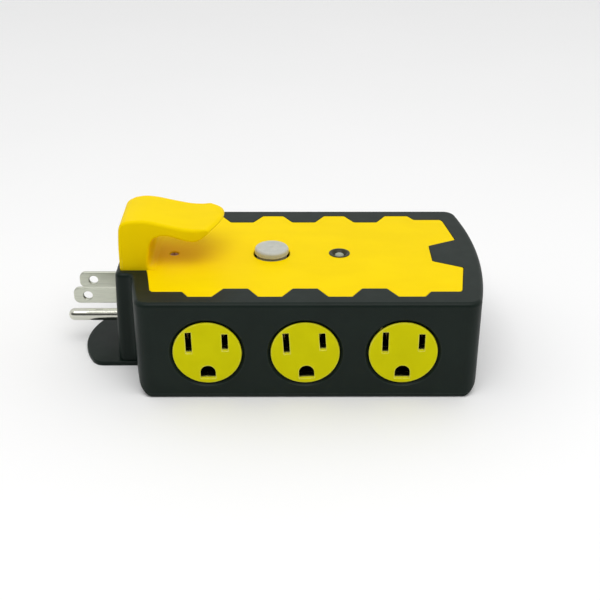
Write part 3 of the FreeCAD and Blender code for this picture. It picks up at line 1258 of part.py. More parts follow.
for item in doc.Objects:
    if "Invalid" in item.State or "Error" in item.State:
        raise ValueError("%s failed: %s" % (item.Name, item.State))
for item in parts:
    if item.Shape.isNull() or not item.Shape.isValid():
        raise ValueError("%s has no valid shape" % item.Label)

os.makedirs("parts", exist_ok=True)
for item in parts:
    item.Shape.exportStep("parts/%s.step" % item.Label)
    box = item.Shape.BoundBox
    print("%-26s solids %d  volume %9.1f  x %6.1f..%6.1f  y %6.1f..%6.1f  z %5.1f..%5.1f" % (
        item.Label, len(item.Shape.Solids), item.Shape.Volume,
        box.XMin, box.XMax, box.YMin, box.YMax, box.ZMin, box.ZMax))
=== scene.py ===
"""Looks of the six-outlet plug-in adapter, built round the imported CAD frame. Metres, row frame, +Z up."""
import json
import math

import bmesh
import bpy
from mathutils import Matrix, Vector


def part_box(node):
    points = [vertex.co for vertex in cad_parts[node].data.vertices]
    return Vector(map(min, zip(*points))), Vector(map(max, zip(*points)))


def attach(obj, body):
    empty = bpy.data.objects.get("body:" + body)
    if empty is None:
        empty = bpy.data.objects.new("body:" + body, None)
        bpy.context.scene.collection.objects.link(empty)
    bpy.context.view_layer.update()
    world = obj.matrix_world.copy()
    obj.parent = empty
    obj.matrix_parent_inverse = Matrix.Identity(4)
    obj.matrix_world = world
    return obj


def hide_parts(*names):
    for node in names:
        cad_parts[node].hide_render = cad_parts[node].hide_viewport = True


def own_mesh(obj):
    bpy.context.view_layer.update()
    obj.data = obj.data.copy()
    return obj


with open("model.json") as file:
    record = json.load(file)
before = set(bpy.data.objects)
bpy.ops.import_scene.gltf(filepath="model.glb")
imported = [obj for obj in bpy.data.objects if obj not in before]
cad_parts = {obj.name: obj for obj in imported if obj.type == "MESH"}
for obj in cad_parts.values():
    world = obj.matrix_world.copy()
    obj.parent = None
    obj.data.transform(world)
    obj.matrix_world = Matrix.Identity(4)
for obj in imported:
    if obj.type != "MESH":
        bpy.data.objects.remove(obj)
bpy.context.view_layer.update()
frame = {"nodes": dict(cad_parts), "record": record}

nodes = frame["nodes"]
record = frame["record"]
MM = 0.001


# ---------------------------------------------------------------- material helpers


class Shader:
    """A node material with one Principled shader, built up by short calls."""

    BEVEL_SAMPLES = 4
    FLAT_TURN = 0.995  # cosine of how far a bevelled normal turns where a surface still counts as flat
    EDGE_TURN = 0.9  # and where it counts as a full edge

    def __init__(self, name, color, roughness, metallic=0.0, **sockets):
        self.material = bpy.data.materials.new(name)
        self.material.use_nodes = True
        self.tree = self.material.node_tree
        self.principled = self.tree.nodes["Principled BSDF"]
        self.coordinates = self.tree.nodes.new("ShaderNodeTexCoord")
        self.height = None
        self.set("Base Color", (*color, 1.0))
        self.set("Roughness", roughness)
        self.set("Metallic", metallic)
        for socket, amount in sockets.items():
            self.set(socket.replace("_", " "), amount)

    def set(self, socket, amount):
        self.principled.inputs[socket].default_value = amount

    def link(self, output, target):
        self.tree.links.new(output, target)

    def noise(self, scale, detail=4.0, roughness=0.5, stretch=None):
        """Fractal noise in object space; stretch scales the axes to make grain or brushing."""
        node = self.tree.nodes.new("ShaderNodeTexNoise")
        node.inputs["Scale"].default_value = scale
        node.inputs["Detail"].default_value = detail
        node.inputs["Roughness"].default_value = roughness
        source = self.coordinates.outputs["Object"]
        if stretch:
            mapping = self.tree.nodes.new("ShaderNodeMapping")
            mapping.inputs["Scale"].default_value = stretch
            self.link(source, mapping.inputs["Vector"])
            source = mapping.outputs["Vector"]
        self.link(source, node.inputs["Vector"])
        return node.outputs["Fac"]

    def cells(self, scale):
        """Rounded cells, as on a spark-eroded mould face."""
        node = self.tree.nodes.new("ShaderNodeTexVoronoi")
        node.feature = "SMOOTH_F1"
        node.inputs["Scale"].default_value = scale
        self.link(self.coordinates.outputs["Object"], node.inputs["Vector"])
        return node.outputs["Distance"]

    def ramp(self, value, low, high, start=0.35, end=0.65):
        """Map a value between two colours or grey levels."""
        node = self.tree.nodes.new("ShaderNodeValToRGB")
        for element, place, tone in zip(node.color_ramp.elements, (start, end), (low, high)):
            element.position = place
            element.color = (*tone, 1.0) if isinstance(tone, tuple) else (tone, tone, tone, 1.0)
        self.link(value, node.inputs["Fac"])
        return node.outputs["Color"]

    def math(self, operation, first, second):
        node = self.tree.nodes.new("ShaderNodeMath")
        node.operation = operation
        for socket, amount in zip(node.inputs, (first, second)):
            if isinstance(amount, float):
                socket.default_value = amount
            else:
                self.link(amount, socket)
        return node.outputs["Value"]

    def edges(self, reach):
        """1 along sharp edges and 0 on flats and wide curves, from how far a bevelled normal turns away."""
        bevel = self.tree.nodes.new("ShaderNodeBevel")
        bevel.samples = self.BEVEL_SAMPLES
        bevel.inputs["Radius"].default_value = reach
        geometry = self.tree.nodes.new("ShaderNodeNewGeometry")
        turn = self.tree.nodes.new("ShaderNodeVectorMath")
        turn.operation = "DOT_PRODUCT"
        self.link(bevel.outputs["Normal"], turn.inputs[0])
        self.link(geometry.outputs["Normal"], turn.inputs[1])
        spread = self.tree.nodes.new("ShaderNodeMapRange")
        spread.inputs["From Min"].default_value = self.FLAT_TURN
        spread.inputs["From Max"].default_value = self.EDGE_TURN
        self.link(turn.outputs["Value"], spread.inputs["Value"])
        return spread.outputs["Result"]

    def blend(self, factor, base, tone):
        """A colour output mixed towards a plain tone by a factor."""
        node = self.tree.nodes.new("ShaderNodeMix")
        node.data_type = "RGBA"
        self.link(factor, node.inputs["Factor"])
        colours = [socket for socket in node.inputs if socket.type == "RGBA"]
        self.link(base, colours[0])
        colours[1].default_value = (*tone, 1.0)
        return next(socket for socket in node.outputs if socket.type == "RGBA")

    def wear_and_highlight_edges(self, base, edge_wear_and_highlight_tone, reach=0.0003, patches=350):
        """Colour the surface, with a lighter tone along its sharp edges that comes and goes in patches:
        partly wear, partly a painted highlight where the edges catch the light.
        """
        patchy = self.ramp(self.noise(patches, detail=3), low=0.25, high=1.0, start=0.3, end=0.6)
        factor = self.math("MULTIPLY", self.edges(reach), patchy)
        self.link(self.blend(factor, base, edge_wear_and_highlight_tone), self.principled.inputs["Base Color"])

    def depth(self, plane, near, far):
        """0 close under a plane at plus or minus Y and 1 deeper than far: a mask for painted shade down in
        recesses such as the socket slots.
        """
        split = self.tree.nodes.new("ShaderNodeSeparateXYZ")
        self.link(self.coordinates.outputs["Object"], split.inputs["Vector"])
        spread = self.tree.nodes.new("ShaderNodeMapRange")
        spread.inputs["From Min"].default_value = plane - near
        spread.inputs["From Max"].default_value = plane - far
        self.link(self.math("ABSOLUTE", split.outputs["Y"], 0.0), spread.inputs["Value"])
        return spread.outputs["Result"]

    def bump(self, value, strength, distance):
        """Add a layer of bump over the layers before it."""
        node = self.tree.nodes.new("ShaderNodeBump")
        node.inputs["Strength"].default_value = strength
        node.inputs["Distance"].default_value = distance
        self.link(value, node.inputs["Height"])
        if self.height:
            self.link(self.height, node.inputs["Normal"])
        self.height = node.outputs["Normal"]
        self.link(self.height, self.principled.inputs["Normal"])

    def tint(self, value, low, high):
        """Let the colour drift between two tones."""
        self.link(self.ramp(value, low, high), self.principled.inputs["Base Color"])

    def sheen_range(self, value, low, high):
        """Let the roughness drift between two levels."""
        node = self.tree.nodes.new("ShaderNodeMapRange")
        node.inputs["To Min"].default_value = low
        node.inputs["To Max"].default_value = high
        self.link(value, node.inputs["Value"])
        self.link(node.outputs["Result"], self.principled.inputs["Roughness"])


# ---------------------------------------------------------------- materials, one per slot


def dark_shell():
    """Dark green-grey housing plastic with a fine spark-eroded grain, its edges painted lighter in patches:
    partly wear, partly painted highlight.
    """
    shader = Shader("dark_shell", (0.006, 0.013, 0.0095), 0.42, Specular_IOR_Level=0.17)
    mottle = shader.ramp(
        shader.noise(scale=90, detail=3), low=(0.0048, 0.0112, 0.0080), high=(0.0062, 0.0138, 0.0100))
    shader.wear_and_highlight_edges(mottle, edge_wear_and_highlight_tone=(0.035, 0.05, 0.042))
    shader.sheen_range(shader.noise(scale=160, detail=2), low=0.36, high=0.5)
    shader.bump(shader.cells(scale=2600), strength=0.22, distance=0.00006)
    shader.bump(shader.noise(scale=700, detail=2), strength=0.08, distance=0.0001)
    return shader.material


def cover_yellow():
    """Warm yellow moulded plastic, satin, with faint flow marks and a fine grain."""
    shader = Shader("cover_yellow", (0.93, 0.66, 0.0), 0.36, Specular_IOR_Level=0.02)
    flow_marks = shader.noise(scale=45, detail=3, stretch=(1.0, 2.2, 1.0))
    flow = shader.ramp(flow_marks, low=(0.915, 0.655, 0.0), high=(0.945, 0.685, 0.0))
    # Edges painted lighter in patches: partly wear, partly painted highlight.
    shader.wear_and_highlight_edges(flow, edge_wear_and_highlight_tone=(0.97, 0.76, 0.08))
    shader.sheen_range(shader.noise(scale=120, detail=2), low=0.3, high=0.42)
    shader.bump(shader.cells(scale=2300), strength=0.12, distance=0.00005)
    shader.bump(shader.noise(scale=260, detail=2), strength=0.05, distance=0.0002)
    return shader.material


def socket_yellow():
    """The sockets' greener yellow, a harder and duller plastic, with painted shade down in its slots and pale
    rims that are partly wear and partly painted highlight.
    """
    shader = Shader("socket_yellow", (0.72, 0.675, 0.0), 0.45, Specular_IOR_Level=0.05)
    mottle = shader.ramp(shader.noise(scale=130, detail=3), low=(0.69, 0.65, 0.0), high=(0.725, 0.685, 0.0))
    face = -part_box("outlet_face_front_middle")[0][1]
    # Painted shade: below the socket face the colour goes to near black, standing in for the shade inside the
    # slots.
    inside = shader.depth(face, near=0.00045, far=0.0008)
    # Rims painted pale in patches: partly wear, partly painted highlight.
    shader.wear_and_highlight_edges(shader.blend(inside, mottle, tone=(0.02, 0.018, 0.008)), edge_wear_and_highlight_tone=(0.9, 0.88, 0.2), reach=0.0005)
    shader.sheen_range(shader.noise(scale=240, detail=2), low=0.4, high=0.52)
    shader.bump(shader.cells(scale=2900), strength=0.14, distance=0.00005)
    return shader.material


def darker(color, share):
    """A colour with every channel multiplied by a share."""
    return tuple(channel * share for channel in color)


def metal(name, color, roughness, brushing, strength=0.25):
    """Plated or rolled metal with streaks along one axis."""
    shader = Shader(name, color, roughness, metallic=1.0)
    streaks = shader.noise(scale=1400, detail=3, roughness=0.6, stretch=brushing)
    tarnish = shader.noise(scale=300, detail=4, roughness=0.6, stretch=brushing)
    shader.tint(tarnish, low=darker(color, 0.88), high=color)
    shader.sheen_range(streaks, low=roughness * 0.75, high=roughness * 1.35)
    shader.bump(streaks, strength, distance=0.00003)
    return shader.material


def moulded(name, color, roughness, grain=1800, gloss=0.5):
    """Plain moulded plastic for inner pieces and small trim."""
    shader = Shader(name, color, roughness, Specular_IOR_Level=gloss)
    shader.tint(shader.noise(scale=220, detail=3), low=darker(color, 0.9), high=color)
    shader.sheen_range(shader.noise(scale=300, detail=2), low=roughness * 0.85, high=roughness * 1.15)
    shader.bump(shader.cells(grain), strength=0.12, distance=0.00004)
    return shader.material


def button_pale():
    """Pale satin button with a faint mottle and handling marks."""
    shader = Shader("button_pale", (0.50, 0.515, 0.47), 0.3, Specular_IOR_Level=0.3)
    marks = shader.noise(scale=420, detail=5, roughness=0.65)
    mottle = shader.ramp(marks, low=(0.46, 0.475, 0.43), high=(0.53, 0.545, 0.50))
    # The shoulder's edge painted lighter in patches: partly wear, partly painted highlight on the rim.
    shader.wear_and_highlight_edges(mottle, edge_wear_and_highlight_tone=(0.85, 0.84, 0.74), reach=0.0009, patches=250)
    shader.sheen_range(shader.noise(scale=700, detail=3), low=0.24, high=0.4)
    shader.bump(shader.noise(scale=1500, detail=3), strength=0.1, distance=0.00004)
    return shader.material


def clear(name, color, roughness, transmission):
    """Clear or tinted window material with a little waviness."""
    shader = Shader(name, color, roughness, Transmission_Weight=transmission, IOR=1.49)
    shader.tint(shader.noise(scale=900, detail=2), low=darker(color, 0.93), high=color)
    shader.bump(shader.noise(scale=500, detail=2), strength=0.08, distance=0.0001)
    return shader.material


MATERIALS = {
    "dark_shell": dark_shell(),
    "cover_yellow": cover_yellow(),
    "socket_yellow": socket_yellow(),
    "contact_brass": metal("contact_brass", (0.72, 0.50, 0.20), 0.32, (1, 12, 12)),
    "blade_nickel": metal("blade_nickel", (0.64, 0.66, 0.56), 0.38, (0.6, 10, 10)),
    "pin_nickel": metal("pin_nickel", (0.68, 0.68, 0.60), 0.16, (0.5, 10, 10), strength=0.1),
    "insulator_cream": moulded("insulator_cream", (0.05, 0.042, 0.03), 0.5),
    "insulator_black": moulded("insulator_black", (0.02, 0.02, 0.02), 0.45),
    "button_pale": button_pale(),
    "spring_steel": metal("spring_steel", (0.5, 0.5, 0.51), 0.3, (4, 4, 1)),
    "bezel_black": moulded("bezel_black", (0.035, 0.034, 0.014), 0.3, grain=2600, gloss=0.22),
    "lens_clear": clear("lens_clear", (0.5, 0.54, 0.4), 0.16, 0.35),
    "lamp_glass": clear("lamp_glass", (0.85, 0.62, 0.48), 0.05, 0.8),
    "resistor_tan": moulded("resistor_tan", (0.5, 0.34, 0.18), 0.35),
    "bimetal": metal("bimetal", (0.48, 0.45, 0.42), 0.35, (1, 10, 10)),
    "wire_black": moulded("wire_black", (0.018, 0.018, 0.018), 0.4),
    "wire_white": moulded("wire_white", (0.7, 0.7, 0.68), 0.4),
    "wire_green": moulded("wire_green", (0.01, 0.2, 0.05), 0.4),
    "screw_steel": metal("screw_steel", (0.42, 0.22, 0.11), 0.42, (6, 6, 2)),
}

for subpart in record["subparts"]:
    node = nodes[subpart["node"]]
    node.data.materials.clear()
    node.data.materials.append(MATERIALS[subpart["material_slot"]])


# ---------------------------------------------------------------- the top cover with its hook

# Metres, as in the CAD, except in the profile and the panel's outline, which are in millimetres.
TOP = 0.0379  # Z of the panel's upper face
PANEL_THICK = 0.00195
HOOK_HALF = 0.014  # half the hook's width at the panel
HOOK_HALF_TOP = 0.0124  # and at its top
HOOK_TOP = 0.0564  # Z of its highest point
HOOK_TIP = -0.0173  # X of the tip's foremost point
FRONT_LAG = 0.0047  # how far the tip's front corner lies behind its foremost point
REAR_LAG = 0.0044  # the same for its rear corner
FRONT_SLANT = 1.6  # how late the tip's front side turns back: 1 is a straight slant
REAR_SLANT = 3.2  # the same for its rear side
FRONT_CAP = 1.1  # the most the tip lies back beyond its corners, as a share of their lag
REAR_CAP = 1.15
HOOK_CROWN = 0.003  # Y of the tip's foremost point
LEG_CORNER = 0.004  # plan radius of the leg's rear outer corner
CORNER_FRONT = -0.046  # the leg's corner is drawn in behind this X, and fully after CORNER_FADE
CORNER_FADE = 0.006
EDGE_ROUND = 0.0011  # radius of the hook's long edges
TIP_ROUND = 0.3  # share of that radius left at the tip, which grows to all of it over TIP_ROUND_REACH
TIP_ROUND_REACH = 5 * MM


def smooth_line(points, steps):
    """A Catmull-Rom line through the points, which starts at the first and ends at the last."""
    spots = [Vector(point) for point in points]
    spots = [spots[0] * 2 - spots[1]] + spots + [spots[-1] * 2 - spots[-2]]
    line = []
    for before, start, end, after in zip(spots, spots[1:], spots[2:], spots[3:]):
        slope = end - before
        bend = 2 * before - 5 * start + 4 * end - after
        twist = 3 * start - before - 3 * end + after
        for step in range(steps):
            t = step / steps
            line.append(0.5 * (2 * start + slope * t + bend * t * t + twist * t ** 3))
    return line + [spots[-2]]


def at_x(line, x):
    """The height of a line given as points in order of falling or rising X."""
    spots = sorted((point.x, point.y) for point in line)
    for (low, first), (high, second) in zip(spots, spots[1:]):
        if low <= x <= high:
            return first + (second - first) * (x - low) / max(high - low, 1e-9)
    return spots[0][1] if x < spots[0][0] else spots[-1][1]


# The hook's side profile, X and Z in millimetres: up the outer face, over the top, and back underneath.
OUTER = [(-54.4, 36.0), (-54.55, 39.5), (-54.6, 46.0), (-54.35, 51.6), (-54.0, 53.7), (-53.2, 55.1),
         (-51.6, 55.95)]
UPPER = [(-51.6, 55.95), (-48.6, 56.35), (-45.6, 56.4), (-42.0, 55.95), (-38.0, 55.0), (-34.0, 54.1),
         (-30.3, 53.35), (-26.5, 53.05), (-22.4, 53.15), (-17.3, 53.15)]
LOWER = [(-27.6, 48.2), (-28.6, 48.25), (-30.6, 48.6), (-33.0, 49.4), (-35.7, 50.25), (-38.2, 50.5),
         (-40.0, 50.25), (-41.6, 49.5), (-42.7, 48.25), (-43.3, 46.5)]
INNER = [(-43.3, 46.5), (-43.75, 43.5), (-44.0, 41.0), (-43.8, 39.4), (-43.0, 38.35), (-41.6, 37.95),
         (-41.2, 37.0)]
LIP_START = LOWER[0][0]
LIP_EDGE = 52.0  # height where the underside meets the tip
LIP_FALL = 0.5  # how far the top drops at the very tip
LIP_TURN = 1.4  # length over which it drops
LIP_NOSE = 0.18  # how far the middle of the tip stands out
LIP_STEPS = 16  # points along each side of the lip
STEPS = 5  # points on the profile for each of those listed above


def tip_lag(y):
    """How far the tip lies back at a place across the hook: a long slant in front, a round corner behind."""
    if y < HOOK_CROWN:
        share = (HOOK_CROWN - y) / (HOOK_HALF_TOP + HOOK_CROWN)
        return FRONT_LAG * min(FRONT_CAP, share ** FRONT_SLANT)
    share = (y - HOOK_CROWN) / (HOOK_HALF_TOP - HOOK_CROWN)
    return REAR_LAG * min(REAR_CAP, share ** REAR_SLANT)


def corner_lag(y, half):
    """How far the leg's outer face is drawn in at a place near its rear corner."""
    reach = min(LEG_CORNER, max(0.0, y - (half - LEG_CORNER)))
    return LEG_CORNER - math.sqrt(LEG_CORNER ** 2 - reach ** 2)


def hook_outline(lag):
    """The hook's closed outline in X and Z, in metres, where its tip lies back by lag."""
    tip = (HOOK_TIP - lag) / MM
    upper = smooth_line(UPPER, STEPS)
    lower = smooth_line(LOWER, STEPS)
    places = [LIP_START + (tip - LIP_START) * k / LIP_STEPS for k in range(1, LIP_STEPS + 1)]
    line = smooth_line(OUTER, STEPS)[:-1]
    line += [point for point in upper if point.x <= LIP_START]
    for x in places:
        close = max(0.0, 1 - (tip - x) / LIP_TURN)
        line.append(Vector((x, at_x(upper, x) - LIP_FALL * close ** 2)))
    line.append(Vector((tip + LIP_NOSE, (line[-1].y + LIP_EDGE) / 2)))
    for x in reversed(places):
        rise = (x - LIP_START) / (tip - LIP_START)
        line.append(Vector((x, LOWER[0][1] + (LIP_EDGE - LOWER[0][1]) * rise ** 2)))
    line += lower[:-1]
    line += smooth_line(INNER, STEPS)
    return [point * MM for point in line]


def hook_ring(mesh, across, turned):
    """One outline of the hook: across runs from -1 to 1, and turned is the angle gone round a long edge."""
    guess = across * HOOK_HALF_TOP
    outline = hook_outline(tip_lag(guess))
    tip = max(point.x for point in outline)
    ring = []
    for place, point in enumerate(outline):
        along = (outline[(place + 1) % len(outline)] - outline[place - 1]).normalized()
        inward = Vector((along.y, -along.x))
        radius = EDGE_ROUND * min(1.0, TIP_ROUND + (tip - point.x) / TIP_ROUND_REACH)
        drawn = point + inward * radius * (1 - math.cos(turned))
        taper = max(0.0, (drawn.y - TOP) / (HOOK_TOP - TOP))
        half = HOOK_HALF + (HOOK_HALF_TOP - HOOK_HALF) * taper
        y = across * (half - radius) + math.copysign(radius * math.sin(turned), across)
        fade = min(1.0, max(0.0, (CORNER_FRONT - drawn.x) / CORNER_FADE))
        ring.append(mesh.verts.new((drawn.x + corner_lag(y, half) * fade, y, drawn.y)))
    return ring


def make_hook(stations=30, turns=5):
    """The hook as one skin of outlines set across it, closer together towards its two rounded side faces."""
    mesh = bmesh.new()
    rings = [hook_ring(mesh, -1, math.pi / 2 * k / turns) for k in range(turns, 0, -1)]
    rings += [hook_ring(mesh, -math.cos(math.pi * k / stations), 0) for k in range(stations + 1)]
    rings += [hook_ring(mesh, 1, math.pi / 2 * k / turns) for k in range(1, turns + 1)]
    for first, second in zip(rings, rings[1:]):
        for place in range(len(first)):
            following = (place + 1) % len(first)
            mesh.faces.new((first[place], first[following], second[following], second[place]))
    caps = [mesh.faces.new(list(reversed(rings[0]))), mesh.faces.new(rings[-1])]
    bmesh.ops.recalc_face_normals(mesh, faces=mesh.faces)
    for face in mesh.faces:
        face.smooth = face not in caps
    return mesh


def round_corners(corners, radius, steps=4):
    """A closed outline with each corner turned on an arc, shorter where its sides are short."""
    straight, most = 0.02, 0.45  # radians of bend left as it is, and the most an arc takes of a side
    count = len(corners)
    line = []
    for place in range(count):
        corner = Vector(corners[place])
        back = Vector(corners[place - 1]) - corner
        ahead = Vector(corners[(place + 1) % count]) - corner
        bend = back.angle(ahead)
        if abs(bend - math.pi) < straight:
            line.append(corner)
            continue
        reach = min(radius / math.tan(bend / 2), most * min(back.length, ahead.length))
        turn = reach * math.tan(bend / 2)
        centre = corner + (back.normalized() + ahead.normalized()).normalized() * (turn / math.sin(bend / 2))
        start = corner + back.normalized() * reach - centre
        end = corner + ahead.normalized() * reach - centre
        sweep = start.angle_signed(end)
        for step in range(steps + 1):
            angle = -sweep * step / steps
            line.append(centre + Vector((start.x * math.cos(angle) - start.y * math.sin(angle),
                                         start.x * math.sin(angle) + start.y * math.cos(angle))))
    return line


def panel_corners():
    """The inlaid panel's outline in millimetres, notched between its tabs: one half and its mirror image."""
    reach, notch, shoulder = 34.5, 28.4, 30.8  # Y of the tabs' ends, of the notches and of the end shoulders
    tab, slope, middle, pitch = 4.1, 3.7, 12.6, 24.4  # half a tab, its flank, the row's middle and spacing
    right_end = [(59.8, 6.6), (70.5, 12), (67.8, 29.4), (67, shoulder)]  # the deep notch and a prong
    left_end = [(-40.9, shoulder), (-42, 29.4), (-44.2, 16.4), (-45, 13), (-46, 13)]  # beside the hook's leg
    outer_slope = slope * (reach - shoulder) / (reach - notch)
    last_tab = middle + 1.5 * pitch + tab + 1  # the right-hand tab is 1 mm wider on its outer side
    half = right_end + [(last_tab + outer_slope, shoulder), (last_tab, reach)]
    for place in (1.5, 0.5, -0.5, -1.5):
        centre = middle + place * pitch
        if place < 1.5:
            half += [(centre + tab + slope, notch), (centre + tab, reach)]
        half.append((centre - tab, reach))
        if place > -1.5:
            half.append((centre - tab - slope, notch))
    half += [(middle - 1.5 * pitch - tab - outer_slope, shoulder)] + left_end
    return half + [(x, -y) for x, y in reversed(half)]


def flat_plate(name, outlines, thickness, edge):
    """A plate with rounded edges, from closed outlines in the XY plane: its rim, and then its holes."""
    curve = bpy.data.curves.new(name, "CURVE")
    curve.dimensions = "2D"
    curve.fill_mode = "BOTH"
    curve.extrude = thickness / 2 - edge
    curve.bevel_depth = edge
    curve.bevel_resolution = 3
    curve.offset = -edge
    for outline in outlines:
        spline = curve.splines.new("POLY")
        spline.points.add(len(outline) - 1)
        for point, spot in zip(spline.points, outline):
            point.co = (spot[0], spot[1], 0, 1)
        spline.use_cyclic_u = True
    holder = bpy.data.objects.new(name, curve)
    bpy.context.scene.collection.objects.link(holder)
    bpy.context.view_layer.update()
    mesh = bpy.data.meshes.new_from_object(holder)
    bpy.data.objects.remove(holder)
    bpy.data.curves.remove(curve)
    return mesh


def ring_of(x, y, radius, count=64):
    """A closed round outline."""
    turns = [2 * math.pi * k / count for k in range(count)]
    return [(x + radius * math.cos(turn), y + radius * math.sin(turn)) for turn in turns]


def add_piece(name, mesh, body, slot, replaced=()):
    """Put a mesh in the scene as a piece that rides on a body, in its slot's material."""
    piece = bpy.data.objects.new(name, mesh)
    bpy.context.scene.collection.objects.link(piece)
    mesh.materials.clear()
    mesh.materials.append(MATERIALS[slot])
    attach(piece, body)
    if replaced:
        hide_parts(*replaced)
    return piece


def centre_of(node):
    """X and Y of the middle of a node's box."""
    low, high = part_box(node)
    return (low[0] + high[0]) / 2, (low[1] + high[1]) / 2


def smooth_by_angle(mesh, degrees=35):
    """Shade a mesh smooth, and keep the edges that turn further than the angle sharp."""
    for face in mesh.polygons:
        face.use_smooth = True
    mesh.set_sharp_from_angle(angle=math.radians(degrees))


def make_cover():
    """The yellow cover: the hook, and the inlaid panel with its openings."""
    corner, edge = 0.9, 0.3 * MM
    openings = (("reset_button", 6.75), ("indicator_lens", 3.2), ("cover_screw", 1.75))  # radii
    hook_mesh = bpy.data.meshes.new("cover_hook")
    hook = make_hook()
    hook.to_mesh(hook_mesh)
    hook.free()
    add_piece("cover_hook", hook_mesh, "adapter", "cover_yellow", ("top_cover",))
    outline = [point * MM for point in round_corners(panel_corners(), corner)]
    holes = [ring_of(*centre_of(node), radius * MM) for node, radius in openings]
    panel = flat_plate("cover_panel", [outline] + holes, PANEL_THICK, edge)
    panel.transform(Matrix.Translation((0, 0, TOP - PANEL_THICK / 2)))
    smooth_by_angle(panel)
    add_piece("cover_panel", panel, "adapter", "cover_yellow", ("top_cover",))


# ---------------------------------------------------------------- button, indicator, blades and pin


def arc(centre, radius, start, end, steps=8):
    """Points on an arc, in the units of its radius, with angles in degrees."""
    turns = [math.radians(start + (end - start) * k / steps) for k in range(steps + 1)]
    return [(centre[0] + radius * math.cos(turn), centre[1] + radius * math.sin(turn)) for turn in turns]


def lathe(name, profile, segments=96):
    """A mesh turned about the upright axis, from a closed outline of (radius, height) in millimetres."""
    mesh = bmesh.new()
    rings = []
    on_axis = 1e-6
    for radius, height in profile:
        spots = ring_of(0, 0, radius * MM, segments) if radius > on_axis else [(0, 0)]
        rings.append([mesh.verts.new((*spot, height * MM)) for spot in spots])
    closed = profile[0][0] > on_axis
    pairs = list(zip(rings, rings[1:])) + ([(rings[-1], rings[0])] if closed else [])
    for low, high in pairs:
        for k in range(segments):
            following = (k + 1) % segments
            corners = [low[k % len(low)], low[following % len(low)],
                       high[following % len(high)], high[k % len(high)]]
            mesh.faces.new(list(dict.fromkeys(corners)))
    bmesh.ops.recalc_face_normals(mesh, faces=mesh.faces)
    result = bpy.data.meshes.new(name)
    mesh.to_mesh(result)
    mesh.free()
    smooth_by_angle(result)
    return result


def turned_piece(name, profile, node, slot, body):
    """A turned piece that stands on the upright axis of the CAD node it replaces."""
    mesh = lathe(name, profile)
    x, y = centre_of(node)
    mesh.transform(Matrix.Translation((x, y, 0)))
    return add_piece(name, mesh, body, slot, (node,))


def make_button():
    """The push button: a low cap with a round shoulder, a shallow dish and a small mark in its middle."""
    low, high = (corner[2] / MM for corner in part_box("reset_button"))
    radius, shoulder, hollow, ceiling = 6.3, 1.0, 5.0, 38.8
    lip = TOP / MM + 0.45  # the cap's edge stands out a little above the panel, with a dark gap under it
    dish = [(3.6, 0.06), (2.4, 0.12), (1.1, 0.16), (0.85, 0.2), (0.6, 0.4), (0.3, 0.46), (0, 0.47)]
    profile = [(0, ceiling), (hollow, ceiling), (hollow, low), (radius - 0.7, low), (radius - 0.6, lip - 0.1)]
    profile += [(radius - 0.15, lip), (radius, lip + 0.15)]
    profile += arc((radius - shoulder, high - shoulder), shoulder, 0, 90)
    profile += [(across, high - depth) for across, depth in dish]
    turned_piece("button_cap", profile, "reset_button", "button_pale", "button")


def make_spring():
    """The return spring under the button: the CAD coil, copied into a mesh of its own."""
    mesh = nodes["button_spring"].data.copy()
    coil = add_piece("spring_coil", mesh, "adapter", "spring_steel", ("button_spring",))
    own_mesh(coil)


def make_indicator():
    """The lamp's ring, sunk towards the middle, and the small domed window in it."""
    low, high = (corner[2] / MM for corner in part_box("indicator_bezel"))
    top = TOP / MM
    stem, bore, rim, ledge = 3.1, 2.45, 3.95, 35.2
    edge = 0.2
    ring = [(bore, low), (stem, low), (stem, top)] + arc((rim - edge, high - edge), edge, 0, 90, steps=4)
    ring += [(3.3, high), (3.1, high - 0.04)]
    ring += [(2.7, top - 0.2), (2.2, top - 0.62), (1.9, top - 0.95), (1.85, ledge), (bore, ledge)]
    turned_piece("indicator_ring", ring, "indicator_bezel", "bezel_black", "adapter")
    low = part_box("indicator_lens")[0][2] / MM
    neck, foot, foot_top, spring_line, crown = 1.8, 2.4, 35.1, top - 0.9, 0.98
    dome = [(0, low), (foot - 0.05, low), (foot, low + 0.1), (foot, foot_top - 0.1), (foot - 0.05, foot_top)]
    dome += [(neck, foot_top), (neck, spring_line)]
    dome += [(neck * math.cos(turn), spring_line + crown * math.sin(turn))
             for turn in (math.radians(10 * k) for k in range(1, 9))]
    dome.append((0, spring_line + crown))
    turned_piece("indicator_window", dome, "indicator_lens", "lens_clear", "adapter")


def make_blades():
    """The two flat blades: rounded tips, a punched hole and softened edges all round."""
    corner, hole_x, hole_radius, edge = 0.0022, -0.0683, 0.0017, 0.3 * MM
    for node in ("line_blade", "neutral_blade"):
        low, high = (Vector(corner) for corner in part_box(node))
        outline = arc((low.x + corner, low.z + corner), corner, 180, 270)
        outline += [(high.x, low.z), (high.x, high.z)]
        outline += arc((low.x + corner, high.z - corner), corner, 90, 180)
        hole = ring_of(hole_x, (low.z + high.z) / 2, hole_radius, count=48)
        mesh = flat_plate(node + "_stamping", [outline, hole], high.y - low.y, edge)
        upright = Matrix.Rotation(math.radians(90), 4, "X")
        mesh.transform(Matrix.Translation((0, (low.y + high.y) / 2, 0)) @ upright)
        smooth_by_angle(mesh)
        add_piece(node + "_stamping", mesh, "adapter", "blade_nickel", (node,))


